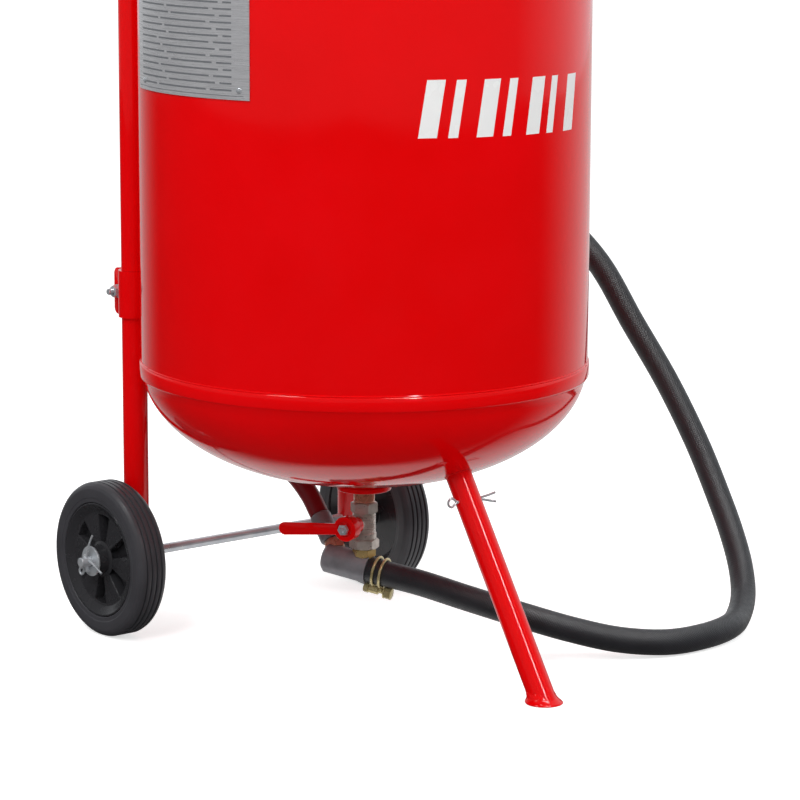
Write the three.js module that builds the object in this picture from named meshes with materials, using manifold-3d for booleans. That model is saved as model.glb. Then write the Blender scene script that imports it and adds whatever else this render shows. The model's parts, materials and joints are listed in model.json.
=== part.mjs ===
// A wheeled pressure pot for abrasive blasting. Millimetres, +Z up, front (the leg) towards -Y.
// The origin is on the floor, under the axis of the tank.
import * as THREE from "three";
import { mergeVertices } from "three/addons/utils/BufferGeometryUtils.js";
import Module from "manifold-3d";

const wasm = await Module();
wasm.setup();

// Driving dimensions
const GAP = 0.3; // clearance between pieces that touch on the real object
const TANK_RADIUS = 200;
const TANK_WALL = 2.5;
const TANK_SIDES = 32;
const BAND_PROUD = 1.2; // the heads lap over the shell by this step
const BAND_HEIGHT = 13;
const HEAD_DEPTH = 113;
const HEAD_ROUNDNESS = 2.1; // exponent of the head's superellipse
const LOWER_SEAM = 266;
const HEAD_TANGENT = 268;
const UPPER_SEAM = 630;
const TANK_MIDDLE = (LOWER_SEAM + UPPER_SEAM) / 2;
const OUTLET_RADIUS = 9.5;
const FILLER_RADIUS = 34;

const TUBE_RADIUS = 11.5; // uprights, handle and leg are one tube size
const UPRIGHT_X = 125.4;
const UPRIGHT_Y = 179.4;
const UPRIGHT_BOTTOM = 62.5;
const UPRIGHT_TOP = 700;
const HANDLE_TOP = 985;
const GRIP_RADIUS = 14;
const HANDLE_Y = 248.5;

const WHEEL_RADIUS = 71.5;
const WHEEL_SIDES = 24;
const WHEEL_INNER_X = 140;
const WHEEL_WIDTH = 30.5;
const RIM_RADIUS = 53;
const DISH_DEPTH = 6;
const HUB_PROUD = 4.7;
const AXLE_RADIUS = 4.5;
const AXLE_HALF_LENGTH = 188.6;
const SPOKES = 6;
const SPLIT_PIN_OUT = 6.6; // from the wheel's outer face

const FOOT = new THREE.Vector3(0, -246.2, 0);
const LEG_TOP = new THREE.Vector3(0, -126.9, 187);
const FOOT_RADIUS = 16.3;
const STUB_RADIUS = 9.2; // inside the leg tube

const VALVE_LEVER_AZIMUTH = THREE.MathUtils.degToRad(200); // the way the stem points
const VALVE_AXIS_Z = 114.5;
const LEVER_DROOP = THREE.MathUtils.degToRad(6);

const CHAMBER_CENTRE = new THREE.Vector3(0, 0, 72.5);
const CHAMBER_AXIS = new THREE.Vector3(0.473, -0.863, -0.172).normalize();
const CHAMBER_RADIUS = 13.5;
const CHAMBER_BACK = -39;
const CHAMBER_FRONT = 5;

const HOSE_RADIUS = 11.75;
const AIR_HOSE_RADIUS = 9;
const AIR_HOSE_AXIS = new THREE.Vector3(0.039, 0.683, 0.729).normalize();

const MANIFOLD = new THREE.Vector3(-65, 115, 800);
const NEEDLE_REST = THREE.MathUtils.degToRad(-135);

// The blast hose hangs on its peg in a turn and a half of coil, behind the tank.
const COIL_CENTRE = new THREE.Vector3(121, 205, 570);
const COIL_RADIUS = 130;
const COIL_PITCH = 27;
const COIL_TURNS = 1.5;
const COIL_STEPS = 18;

// The blast hose's middle line, from the mixing chamber along the floor and up to its coil
const BLAST_HOSE_ROUTE = [
  [2.6, -4.7, 71.6], [11, -20, 68.5], [28.4, -46.5, 62.6], [48.5, -87, 53.5], [78.4, -131, 41],
  [111, -158.5, 28.7], [148, -181, 18], [190, -200, 12.8], [235, -203, 12.1], [275, -193, 12.2],
  [308, -172, 13.2], [337, -149, 24], [356, -126, 44], [369, -100, 71], [377, -71, 105],
  [379, -42, 146], [373, -5, 202], [360, 32, 258], [346, 67, 314], [320, 106, 362],
  [269, 167, 436], [252, 193, 495],
].map(([x, y, z]) => new THREE.Vector3(x, y, z));
for (let i = 0; i <= COIL_STEPS; i++) {
  const turns = (COIL_TURNS * i) / COIL_STEPS;
  const angle = 2 * Math.PI * turns;
  const offset = [COIL_RADIUS * Math.cos(angle), COIL_PITCH * turns, COIL_RADIUS * Math.sin(angle)];
  BLAST_HOSE_ROUTE.push(new THREE.Vector3(...offset).add(COIL_CENTRE));
}
const NOZZLE_TOP = new THREE.Vector3(-9, 246, 440);
BLAST_HOSE_ROUTE.push(NOZZLE_TOP.clone().setZ(505), NOZZLE_TOP);

// The air hose's middle line, from the mixing chamber up the back of the tank to the manifold
const AIR_HOSE_ROUTE = [
  [-7.8, 55.3, 113], [-7.4, 71.8, 130], [-11, 95, 148.5], [-22, 125, 161.5],
  [-34, 152, 176], [-46, 178, 198], [-56, 197, 228], [-62, 206, 262], [-65, 210, 300],
  [-65, 211, 400], [-65, 211, 560], [-65, 211, 700], [-65, 210, 736], [-65, 200, 769],
  [-65, 180, 791], [-65, 160, 799], [-65, 145.7, 800],
].map(([x, y, z]) => new THREE.Vector3(x, y, z));

const paint = new THREE.MeshStandardMaterial({ color: 0xd0050c, roughness: 0.25 });
const rubber = new THREE.MeshStandardMaterial({ color: 0x17171a, roughness: 0.75 });
const blackPlastic = new THREE.MeshStandardMaterial({ color: 0x1b1b1d, roughness: 0.4 });
const brass = new THREE.MeshStandardMaterial({ color: 0xb98a3e, roughness: 0.35, metalness: 1 });
const nickel = new THREE.MeshStandardMaterial({ color: 0xb9b4a8, roughness: 0.35, metalness: 1 });
const zinc = new THREE.MeshStandardMaterial({ color: 0xc4c8cc, roughness: 0.3, metalness: 1 });
const bareSteel = new THREE.MeshStandardMaterial({ color: 0x6f6c72, roughness: 0.5, metalness: 0.8 });
const plateSilver = new THREE.MeshStandardMaterial({ color: 0xb4b6ba, roughness: 0.3, metalness: 0.9 });
const airRubber = new THREE.MeshStandardMaterial({ color: 0x7a0f16, roughness: 0.5 });
const clearPlastic = new THREE.MeshStandardMaterial({ color: 0xcfd6d8, roughness: 0.1 });
const ceramic = new THREE.MeshStandardMaterial({ color: 0xe9e4da, roughness: 0.6 });

// ---- shape helpers ----

// A closed geometry as a solid that can be joined and cut.
function solidOf(geometry) {
  const bare = geometry.clone();
  bare.deleteAttribute("normal");
  bare.deleteAttribute("uv");
  const merged = mergeVertices(bare, 1e-3);
  return new wasm.Manifold(
    new wasm.Mesh({
      numProp: 3,
      vertProperties: merged.attributes.position.array,
      triVerts: new Uint32Array(merged.index.array),
    }),
  );
}

function geometryOf(solid) {
  const mesh = solid.getMesh();
  const geometry = new THREE.BufferGeometry();
  geometry.setAttribute("position", new THREE.BufferAttribute(mesh.vertProperties, 3));
  geometry.setIndex(new THREE.BufferAttribute(mesh.triVerts, 1));
  geometry.computeVertexNormals();
  return geometry;
}

const joined = (first, ...rest) =>
  geometryOf(rest.reduce((sum, next) => sum.add(solidOf(next)), solidOf(first)));

const cut = (body, ...tools) =>
  geometryOf(tools.reduce((left, tool) => left.subtract(solidOf(tool)), solidOf(body)));

// A turned piece about +Z, from an anticlockwise outline of [radius, height] points.
function turned(outline, segments = 16) {
  const points = outline.map(([radius, height]) => new THREE.Vector2(radius, height));
  return new THREE.LatheGeometry(points, segments).rotateX(Math.PI / 2);
}

// A ring or washer about +Z.
const ring = (inner, outer, low, high, segments = 16) =>
  turned([[inner, low], [outer, low], [outer, high], [inner, high], [inner, low]], segments);

// A solid disc or bar about +Z.
const disc = (radius, low, high, segments = 16) =>
  turned([[0, low], [radius, low], [radius, high], [0, high]], segments);

// A six-sided bar about +Z, with flats this far from its axis.
const hexagon = (flat, low, high) => disc(flat / Math.cos(Math.PI / 6), low, high, 6);

function block(width, depth, height, x = 0, y = 0, z = 0) {
  return new THREE.BoxGeometry(width, depth, height).translate(x, y, z);
}

// Turns a piece made about +Z to point along a direction, and moves it to a place.
function aimed(geometry, place, direction) {
  const turn = new THREE.Quaternion().setFromUnitVectors(new THREE.Vector3(0, 0, 1), direction);
  return geometry.applyQuaternion(turn).translate(place.x, place.y, place.z);
}

function bar(from, to, radius, segments = 16) {
  const way = to.clone().sub(from);
  return aimed(disc(radius, 0, way.length(), segments), from, way.normalize());
}

// A round tube or rod along a smooth route.
function alongRoute(route, radius, steps, sides = 10) {
  const section = new THREE.Shape();
  for (let i = 0; i < sides; i++) {
    const angle = (2 * Math.PI * i) / sides;
    const corner = [radius * Math.cos(angle), radius * Math.sin(angle)];
    if (i === 0) section.moveTo(...corner);
    else section.lineTo(...corner);
  }
  const path = new THREE.CatmullRomCurve3(route, false, "centripetal");
  return new THREE.ExtrudeGeometry(section, { steps, extrudePath: path });
}

function piece(name, geometry, material) {
  const mesh = new THREE.Mesh(geometry, material);
  mesh.name = name;
  return mesh;
}

const vec = (x, y, z) => new THREE.Vector3(x, y, z);

// ---- tank ----

// Height of the lower head's surface, offset inwards by `inset`, at a radius.
function headDrop(radius, inset = 0) {
  const share = Math.min(1, radius / (TANK_RADIUS - inset));
  const depth = HEAD_DEPTH - inset;
  return depth * Math.pow(1 - Math.pow(share, HEAD_ROUNDNESS), 1 / HEAD_ROUNDNESS);
}

// A dished head, opening upwards, with its hole in the middle.
function dishedHead(holeRadius) {
  const steps = 6;
  const outline = [];
  const radiusAt = (i, inset) =>
    holeRadius + (TANK_RADIUS - inset - holeRadius) * Math.sin((Math.PI / 2) * (i / steps));
  for (let i = 0; i <= steps; i++) {
    const radius = radiusAt(i, 0);
    outline.push([radius, HEAD_TANGENT - headDrop(radius) - (i === steps ? BAND_HEIGHT + 2 : 0)]);
  }
  const bandBottom = LOWER_SEAM - BAND_HEIGHT;
  outline.push([TANK_RADIUS + BAND_PROUD, bandBottom + 1]);
  outline.push([TANK_RADIUS + BAND_PROUD, LOWER_SEAM - 1]);
  outline.push([TANK_RADIUS + BAND_PROUD - 1, LOWER_SEAM]);
  for (let i = steps; i >= 0; i--) {
    const radius = radiusAt(i, TANK_WALL);
    const drop = headDrop(radius, TANK_WALL);
    outline.push([radius, i === steps ? LOWER_SEAM : HEAD_TANGENT - drop]);
  }
  outline.push(outline[0]);
  return turned(outline, TANK_SIDES);
}

function tank() {
  const group = new THREE.Group();
  const inner = TANK_RADIUS - TANK_WALL;
  group.add(
    piece("tank_shell", ring(inner, TANK_RADIUS, LOWER_SEAM + GAP, UPPER_SEAM - GAP, TANK_SIDES), paint),
  );
  group.add(piece("bottom_head", dishedHead(OUTLET_RADIUS + 1), paint));
  const topHead = piece("top_head", dishedHead(FILLER_RADIUS + GAP), paint);
  topHead.rotation.x = Math.PI;
  topHead.position.z = 2 * TANK_MIDDLE;
  group.add(topHead);
  return group;
}

// The filler neck in the top head, with its seal and screw cap.
function filler() {
  const group = new THREE.Group();
  const rim = 772;
  const seat = 4;
  const neck = turned([
    [FILLER_RADIUS - 5, 730], [FILLER_RADIUS, 730], [FILLER_RADIUS, rim - seat],
    [FILLER_RADIUS + 4, rim - seat], [FILLER_RADIUS + 4, rim], [FILLER_RADIUS - 5, rim],
    [FILLER_RADIUS - 5, 730],
  ]);
  group.add(piece("filler_neck", neck, paint));
  const sealTop = rim + GAP + 3;
  group.add(piece("filler_seal", ring(FILLER_RADIUS - 4, FILLER_RADIUS + 3, rim + GAP, sealTop), rubber));
  const capLow = sealTop + GAP;
  const cap = turned([
    [0, capLow], [FILLER_RADIUS + 4.5, capLow], [FILLER_RADIUS + 4.5, rim - 8],
    [FILLER_RADIUS + 8, rim - 8], [FILLER_RADIUS + 8, capLow + 6], [FILLER_RADIUS + 5, capLow + 8],
    [14, capLow + 8], [14, capLow + 16], [0, capLow + 16],
  ]);
  const handBar = bar(vec(-46, 0, capLow + 18), vec(46, 0, capLow + 18), 5, 12);
  group.add(piece("filler_cap", joined(cap, handBar), zinc));
  return group;
}

// The blank plate on the side of the shell, curved with it.
function dataPlate() {
  const from = THREE.MathUtils.degToRad(155);
  const to = THREE.MathUtils.degToRad(203.5);
  const low = 512;
  const high = 606;
  const inner = TANK_RADIUS + GAP;
  const outer = inner + 1;
  const outline = new THREE.Shape();
  outline.absarc(0, 0, outer, from, to, false);
  outline.absarc(0, 0, inner, to, from, true);
  outline.closePath();
  const plate = new THREE.ExtrudeGeometry(outline, {
    depth: high - low, bevelEnabled: false, curveSegments: 6,
  });
  return piece("data_plate", plate.translate(0, 0, low), plateSilver);
}

// ---- outlet, media valve and mixing chamber ----

function outlet() {
  const group = new THREE.Group();
  const bossTop = HEAD_TANGENT - HEAD_DEPTH - GAP;
  const bossLow = 145.3;
  const boss = turned([
    [OUTLET_RADIUS + GAP, bossLow], [23.7, bossLow], [24.5, 146], [24.5, 149.4], [22, 150.4],
    [22, bossTop], [OUTLET_RADIUS + GAP, bossTop], [OUTLET_RADIUS + GAP, bossLow],
  ]);
  group.add(piece("outlet_boss", boss, paint));
  group.add(piece("outlet_nipple", ring(6, OUTLET_RADIUS, 134, bossTop - 1), brass));
  return group;
}

function mediaValve() {
  const group = new THREE.Group();
  const stemWay = vec(Math.cos(VALVE_LEVER_AZIMUTH), Math.sin(VALVE_LEVER_AZIMUTH), 0);
  const centre = vec(0, 0, VALVE_AXIS_Z);
  const bodyTop = 134 - GAP;
  const bodyBottom = 100.3;
  const along = (distance) => centre.clone().addScaledVector(stemWay, distance);

  const shell = joined(
    disc(10.4, bodyBottom, bodyTop, 20),
    hexagon(10.6, bodyTop - 9, bodyTop),
    bar(along(0), along(19), 7, 16),
  );
  const ballRadius = 6.7;
  const seatRadius = 7.6;
  const seat = new THREE.SphereGeometry(seatRadius, 12, 8).translate(0, 0, VALVE_AXIS_Z);
  const body = cut(shell, disc(5, 95, 140, 16), seat, bar(along(0), along(20), 3.3, 12));
  group.add(piece("media_valve_body", body, nickel));

  const sphere = new THREE.SphereGeometry(ballRadius, 12, 8).translate(0, 0, VALVE_AXIS_Z);
  const across = vec(stemWay.y, -stemWay.x, 0);
  const bore = bar(
    centre.clone().addScaledVector(across, -10), centre.clone().addScaledVector(across, 10), 4.5, 12,
  );
  const ball = cut(sphere, bore, bar(along(4.5), along(9), 4, 12));
  group.add(piece("media_valve_ball", ball, nickel));
  group.add(piece("media_valve_stem", bar(along(4.8), along(34), 2.9, 12), zinc));

  // The lever is a flat blade on a round hub, level when the valve is shut.
  const bladeWay = across.clone().multiplyScalar(Math.cos(LEVER_DROOP));
  bladeWay.z = -Math.sin(LEVER_DROOP);
  const hub = bar(along(20), along(34), 11.3, 20);
  const bladeLength = 65;
  const bladeWidth = 11.5;
  const blade = block(bladeLength, bladeWidth, 2.6, bladeLength / 2, 0, 0);
  const tip = disc(bladeWidth / 2, -1.3, 1.3, 16).translate(bladeLength, 0, 0);
  const frame = new THREE.Matrix4().makeBasis(
    bladeWay, new THREE.Vector3().crossVectors(stemWay, bladeWay), stemWay,
  );
  frame.setPosition(along(32.6));
  const arm = joined(blade, tip).applyMatrix4(frame);
  const lever = cut(geometryOf(solidOf(hub).add(solidOf(arm))), bar(along(19), along(35), 3.2, 12));
  group.add(piece("media_valve_lever", lever, paint));
  const nut = aimed(hexagon(4.4, 0, 4.5), along(34 + GAP), stemWay);
  group.add(piece("media_lever_nut", nut, zinc));

  group.add(piece("union_nut", cut(hexagon(11.6, 91, 100), disc(5, 90, 101, 16)), nickel));
  return group;
}

function mixingChamber() {
  const group = new THREE.Group();
  const chamber = aimed(
    turned([
      [0, CHAMBER_BACK], [CHAMBER_RADIUS - 2, CHAMBER_BACK], [CHAMBER_RADIUS, CHAMBER_BACK + 2],
      [CHAMBER_RADIUS, CHAMBER_FRONT - 0.6], [CHAMBER_RADIUS - 0.6, CHAMBER_FRONT],
      [0, CHAMBER_FRONT],
    ]),
    CHAMBER_CENTRE, CHAMBER_AXIS,
  );
  const drop = disc(5, 78, 100, 16);
  group.add(piece("mixing_chamber", cut(chamber, drop), bareSteel));

  const nippleSolid = solidOf(ring(5.2, 8.2, 72, 91 - GAP, 16));
  const aroundChamber = aimed(
    disc(CHAMBER_RADIUS + GAP, -60, 40, 24), CHAMBER_CENTRE, CHAMBER_AXIS,
  );
  group.add(piece("chamber_nipple", geometryOf(nippleSolid.subtract(solidOf(aroundChamber))), brass));

  // The air inlet: a brass nut on the chamber's back end, then the ferrule on the hose.
  const inletFoot = CHAMBER_CENTRE.clone().addScaledVector(CHAMBER_AXIS, -22.6);
  const nutShape = solidOf(aimed(hexagon(8.2, 8, 23), inletFoot, AIR_HOSE_AXIS));
  group.add(piece("air_inlet_nut", geometryOf(nutShape.subtract(solidOf(aroundChamber))), brass));
  const ferrule = aimed(disc(AIR_HOSE_RADIUS + 0.8, 23 + GAP, 50, 20), inletFoot, AIR_HOSE_AXIS);
  group.add(piece("air_hose_ferrule", ferrule, zinc));
  return group;
}

function airHose() {
  const hose = alongRoute(AIR_HOSE_ROUTE, AIR_HOSE_RADIUS, 36, 8);
  return piece("air_hose", hose, airRubber);
}

// The clamp's two wire rings round the blast hose, joined by a screw block underneath.
function hoseClamp() {
  const rings = [13, 20].map((distance) => {
    const wire = new THREE.TorusGeometry(HOSE_RADIUS + 2.5, 1.3, 4, 16);
    const place = CHAMBER_CENTRE.clone().addScaledVector(CHAMBER_AXIS, distance);
    return aimed(wire, place, CHAMBER_AXIS);
  });
  const side = vec(0, 0, 1).cross(CHAMBER_AXIS).normalize();
  const below = CHAMBER_AXIS.clone().cross(side).normalize().multiplyScalar(-1);
  const middle = CHAMBER_CENTRE.clone()
    .addScaledVector(CHAMBER_AXIS, 16.5)
    .addScaledVector(below, HOSE_RADIUS + 5.6);
  const screw = bar(
    middle.clone().addScaledVector(CHAMBER_AXIS, -13),
    middle.clone().addScaledVector(CHAMBER_AXIS, 14), 3, 12,
  );
  const head = bar(
    middle.clone().addScaledVector(CHAMBER_AXIS, 8),
    middle.clone().addScaledVector(CHAMBER_AXIS, 14), 4.6, 12,
  );
  return piece("hose_clamp", joined(rings[0], rings[1], screw, head), brass);
}

function blastHose() {
  return piece("blast_hose", alongRoute(BLAST_HOSE_ROUTE, HOSE_RADIUS, 66, 8), rubber);
}

// The shut-off valve and the ceramic nozzle on the free end of the blast hose.
function nozzle() {
  const group = new THREE.Group();
  const place = (geometry) => geometry.translate(NOZZLE_TOP.x, NOZZLE_TOP.y, NOZZLE_TOP.z);
  const top = -GAP;
  const valveAxis = -38;
  const body = joined(
    disc(13.5, -18, top, 20), disc(10, -58, -18, 20), hexagon(12, -58, -46),
    disc(6, 0, 19, 16).rotateX(-Math.PI / 2).translate(0, 0, valveAxis),
  );
  group.add(piece("nozzle_valve_body", place(cut(body, disc(4, -60, -10, 12))), nickel));

  const leverHub = disc(8, 19 + GAP, 23, 20).rotateX(-Math.PI / 2).translate(0, 0, valveAxis);
  const leverBlade = block(12, 2.6, 74, 0, 21.6, valveAxis + 37);
  group.add(piece("nozzle_valve_lever", place(joined(leverHub, leverBlade)), paint));

  const holder = turned([
    [4, -86], [9, -86], [12, -80], [12, -58 - GAP], [4, -58 - GAP], [4, -86],
  ]);
  group.add(piece("nozzle_holder", place(holder), blackPlastic));
  group.add(piece("ceramic_nozzle", place(ring(2.5, 7.5, -118, -86 - GAP, 20)), ceramic));
  return group;
}

// ---- running gear and front leg ----

function tyre() {
  const half = WHEEL_WIDTH / 2;
  const outline = [[RIM_RADIUS, -half + 2], [RIM_RADIUS + 3, -half], [WHEEL_RADIUS - 4, -half]];
  outline.push([WHEEL_RADIUS, -half + 4], [WHEEL_RADIUS, half - 4], [WHEEL_RADIUS - 4, half]);
  outline.push([RIM_RADIUS + 3, half], [RIM_RADIUS, half - 2], [RIM_RADIUS, -half + 2]);
  return turned(outline, WHEEL_SIDES);
}

function wheelHub() {
  const half = WHEEL_WIDTH / 2;
  const rim = RIM_RADIUS - GAP;
  const plate = half - DISH_DEPTH;
  const webThickness = 12;
  const bore = AXLE_RADIUS + 0.6;
  const profile = [
    [bore, -half], [12, -half], [13, plate - webThickness], [44, plate - webThickness],
    [rim, -half + 3], [rim, half - 1], [44.5, plate], [13.5, plate], [13, half + HUB_PROUD],
    [bore, half + HUB_PROUD], [bore, -half],
  ];
  const tools = [];
  for (let i = 0; i < SPOKES; i++) {
    const middle = (2 * Math.PI * (i + 0.5)) / SPOKES;
    const wedge = new THREE.Shape();
    wedge.absarc(0, 0, 41.5, middle - 0.22, middle + 0.22, false);
    wedge.absarc(0, 0, 17, middle + 0.35, middle - 0.35, true);
    wedge.closePath();
    const tool = new THREE.ExtrudeGeometry(wedge, { depth: 40, bevelEnabled: false, curveSegments: 2 });
    tools.push(tool.translate(0, 0, plate - 10));
  }
  return cut(turned(profile, WHEEL_SIDES), ...tools);
}

function runningGear() {
  const group = new THREE.Group();
  const alongX = vec(1, 0, 0);
  const rod = bar(vec(-AXLE_HALF_LENGTH, 0, 0), vec(AXLE_HALF_LENGTH, 0, 0), AXLE_RADIUS, 20);
  const pinOffset = WHEEL_INNER_X + WHEEL_WIDTH + HUB_PROUD + GAP + SPLIT_PIN_OUT;
  const pinHoles = [-pinOffset, pinOffset].map((x) => bar(vec(x, 0, -9), vec(x, 0, 9), 1.6, 8));
  const axle = cut(rod, ...pinHoles);
  const axlePiece = piece("axle", axle, zinc);
  axlePiece.position.set(0, UPRIGHT_Y, WHEEL_RADIUS);
  group.add(axlePiece);

  const middle = WHEEL_INNER_X + WHEEL_WIDTH / 2;
  for (const [side, sign] of [["left", -1], ["right", 1]]) {
    const wheel = new THREE.Group();
    wheel.position.set(sign * middle, UPRIGHT_Y, WHEEL_RADIUS);
    wheel.add(piece(side + "_tyre", aimed(tyre(), vec(0, 0, 0), alongX), rubber));
    wheel.add(piece(side + "_wheel_hub", aimed(wheelHub(), vec(0, 0, 0), vec(sign, 0, 0)), blackPlastic));
    const face = sign * (WHEEL_WIDTH / 2 + HUB_PROUD + GAP);
    const washer = ring(AXLE_RADIUS + GAP, 14, 0, 2, 16);
    wheel.add(piece(side + "_washer", aimed(washer, vec(face, 0, 0), vec(sign, 0, 0)), zinc));
    const pinX = face + sign * SPLIT_PIN_OUT;
    const eye = new THREE.TorusGeometry(3, 1, 4, 8).rotateX(Math.PI / 2).translate(pinX, 0, 8.5);
    const shank = bar(vec(pinX, 0, 6), vec(pinX, 0, -10), 1.2, 8);
    const bent = bar(vec(pinX, 0, -9), vec(pinX, -7, -14), 1, 8);
    wheel.add(piece(side + "_split_pin", joined(eye, shank, bent), zinc));
    group.add(wheel);
  }
  return group;
}

// The leg, flared into a foot, slides over a stub on the lower head and is held by a split pin.
function frontLeg() {
  const group = new THREE.Group();
  const way = LEG_TOP.clone().sub(FOOT).normalize();
  const alongLeg = (distance) => FOOT.clone().addScaledVector(way, distance);
  const length = LEG_TOP.distanceTo(FOOT);
  const tube = bar(alongLeg(-20), LEG_TOP, TUBE_RADIUS, 20);
  const flare = turned([
    [0, 0], [FOOT_RADIUS, 0], [FOOT_RADIUS, 1.6], [TUBE_RADIUS + 1.6, 5.5], [0, 5.5],
  ], 24).translate(FOOT.x, FOOT.y, 0);
  const underFloor = block(200, 200, 60, FOOT.x, FOOT.y, -30);
  const pinAt = alongLeg(159.5 / way.z);
  const pinHole = bar(pinAt.clone().setX(-30), pinAt.clone().setX(30), 2, 10);
  const bore = bar(alongLeg(length - 95), alongLeg(length + 10), STUB_RADIUS + GAP, 20);
  const stub = bar(alongLeg(length - 85), LEG_TOP, STUB_RADIUS, 20);
  const leg = solidOf(tube)
    .add(solidOf(flare))
    .subtract(solidOf(underFloor))
    .subtract(solidOf(pinHole))
    .subtract(solidOf(bore))
    .subtract(tankOutside());
  group.add(piece("front_leg", geometryOf(leg), paint));
  const stubCut = solidOf(stub).subtract(solidOf(pinHole)).subtract(tankOutside());
  group.add(piece("leg_stub", geometryOf(stubCut), paint));

  const pin = new THREE.Group();
  pin.position.copy(pinAt);
  const shank = bar(vec(-13.5, 0, 0), vec(16, 0, 0), 1.5, 10);
  const eye = new THREE.TorusGeometry(4, 1.2, 5, 10).rotateY(0.4).translate(-17.2, 0, 0);
  const upperEnd = bar(vec(14, 0, 0), vec(29, -2, 3.5), 1, 8);
  const lowerEnd = bar(vec(14, 0, 0), vec(30, -2, -4.5), 1, 8);
  pin.add(piece("leg_pin", joined(shank, eye, upperEnd, lowerEnd), zinc));
  group.add(pin);
  return group;
}

// A solid as big as the outside of the tank and a little more, to trim what is welded to it.
function tankOutside() {
  const steps = 10;
  const outline = [[0, HEAD_TANGENT - HEAD_DEPTH - GAP]];
  for (let i = 1; i <= steps; i++) {
    const radius = TANK_RADIUS * Math.sin((Math.PI / 2) * (i / steps));
    outline.push([radius + GAP, HEAD_TANGENT - headDrop(radius) - 2 * GAP]);
  }
  const outside = TANK_RADIUS + BAND_PROUD + GAP;
  outline.push([outside, LOWER_SEAM - BAND_HEIGHT], [outside, 660], [0, 660]);
  return solidOf(turned(outline, TANK_SIDES));
}

// ---- uprights, their clamps and the handle ----

function uprights() {
  const group = new THREE.Group();
  for (const [side, sign] of [["left", -1], ["right", 1]]) {
    const tube = disc(TUBE_RADIUS, UPRIGHT_BOTTOM, UPRIGHT_TOP, 20);
    const axleHole = bar(vec(-30, 0, WHEEL_RADIUS), vec(30, 0, WHEEL_RADIUS), AXLE_RADIUS + GAP, 20);
    const upright = piece(side + "_upright", cut(tube, axleHole), paint);
    upright.position.set(sign * UPRIGHT_X, UPRIGHT_Y, 0);
    group.add(upright);
    group.add(...uprightClamp(side, sign));
  }
  return group;
}

// The bracket is welded to the shell and grips the upright against an outer strap.
function uprightClamp(side, sign) {
  const low = 293;
  const high = 336;
  const height = high - low;
  const middle = (low + high) / 2;
  const bore = TUBE_RADIUS + GAP;
  const thick = 2.5;
  const tabFrom = UPRIGHT_Y + bore;
  const tabLength = 17;
  const boltOut = tabFrom + 9;
  const opening = solidOf(disc(bore, low - 5, high + 5, 24).translate(UPRIGHT_X, UPRIGHT_Y, 0));
  const sleeve = solidOf(disc(bore + thick, low, high, 24).translate(UPRIGHT_X, UPRIGHT_Y, 0));
  const half = 40;
  const innerHalf = solidOf(
    block(half, 80, 80, UPRIGHT_X - half / 2 - GAP / 2, UPRIGHT_Y, middle),
  );
  const outerHalf = solidOf(
    block(half, 80, 80, UPRIGHT_X + half / 2 + GAP / 2, UPRIGHT_Y, middle),
  );
  const tab = (x) =>
    block(thick, tabLength, height, x, tabFrom - 1 + tabLength / 2, middle);
  const hole = solidOf(
    bar(vec(UPRIGHT_X - 30, boltOut, middle), vec(UPRIGHT_X + 30, boltOut, middle), 3.4, 12),
  );
  const web = block(thick, 46, height, UPRIGHT_X - bore - thick / 2 + 1, UPRIGHT_Y - 23, middle);
  const base = sleeve
    .intersect(innerHalf)
    .add(solidOf(tab(UPRIGHT_X - GAP / 2 - thick / 2)))
    .add(solidOf(web))
    .subtract(opening)
    .subtract(hole)
    .subtract(tankOutside());
  const strap = sleeve
    .intersect(outerHalf)
    .add(solidOf(tab(UPRIGHT_X + GAP / 2 + thick / 2)))
    .subtract(opening)
    .subtract(hole);
  const boltAt = vec(UPRIGHT_X, boltOut, middle);
  const shifted = (x) => boltAt.clone().setX(UPRIGHT_X + x);
  const face = thick + GAP / 2 + GAP;
  const bolt = joined(
    bar(shifted(-face - 4), shifted(14.5), 3, 12),
    bar(shifted(-face - 4.5), shifted(-face), 5.6, 6),
    bar(shifted(face), shifted(face + 1.4), 6.2, 16),
    bar(shifted(face + 1.2), shifted(face + 6.4), 5.6, 6),
  );
  return [
    piece(side + "_clamp_base", geometryOf(base), paint),
    piece(side + "_clamp_strap", geometryOf(strap), paint),
    piece(side + "_clamp_bolt", bolt, zinc),
  ].map((mesh) => {
    mesh.scale.x = sign;
    return mesh;
  });
}

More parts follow.
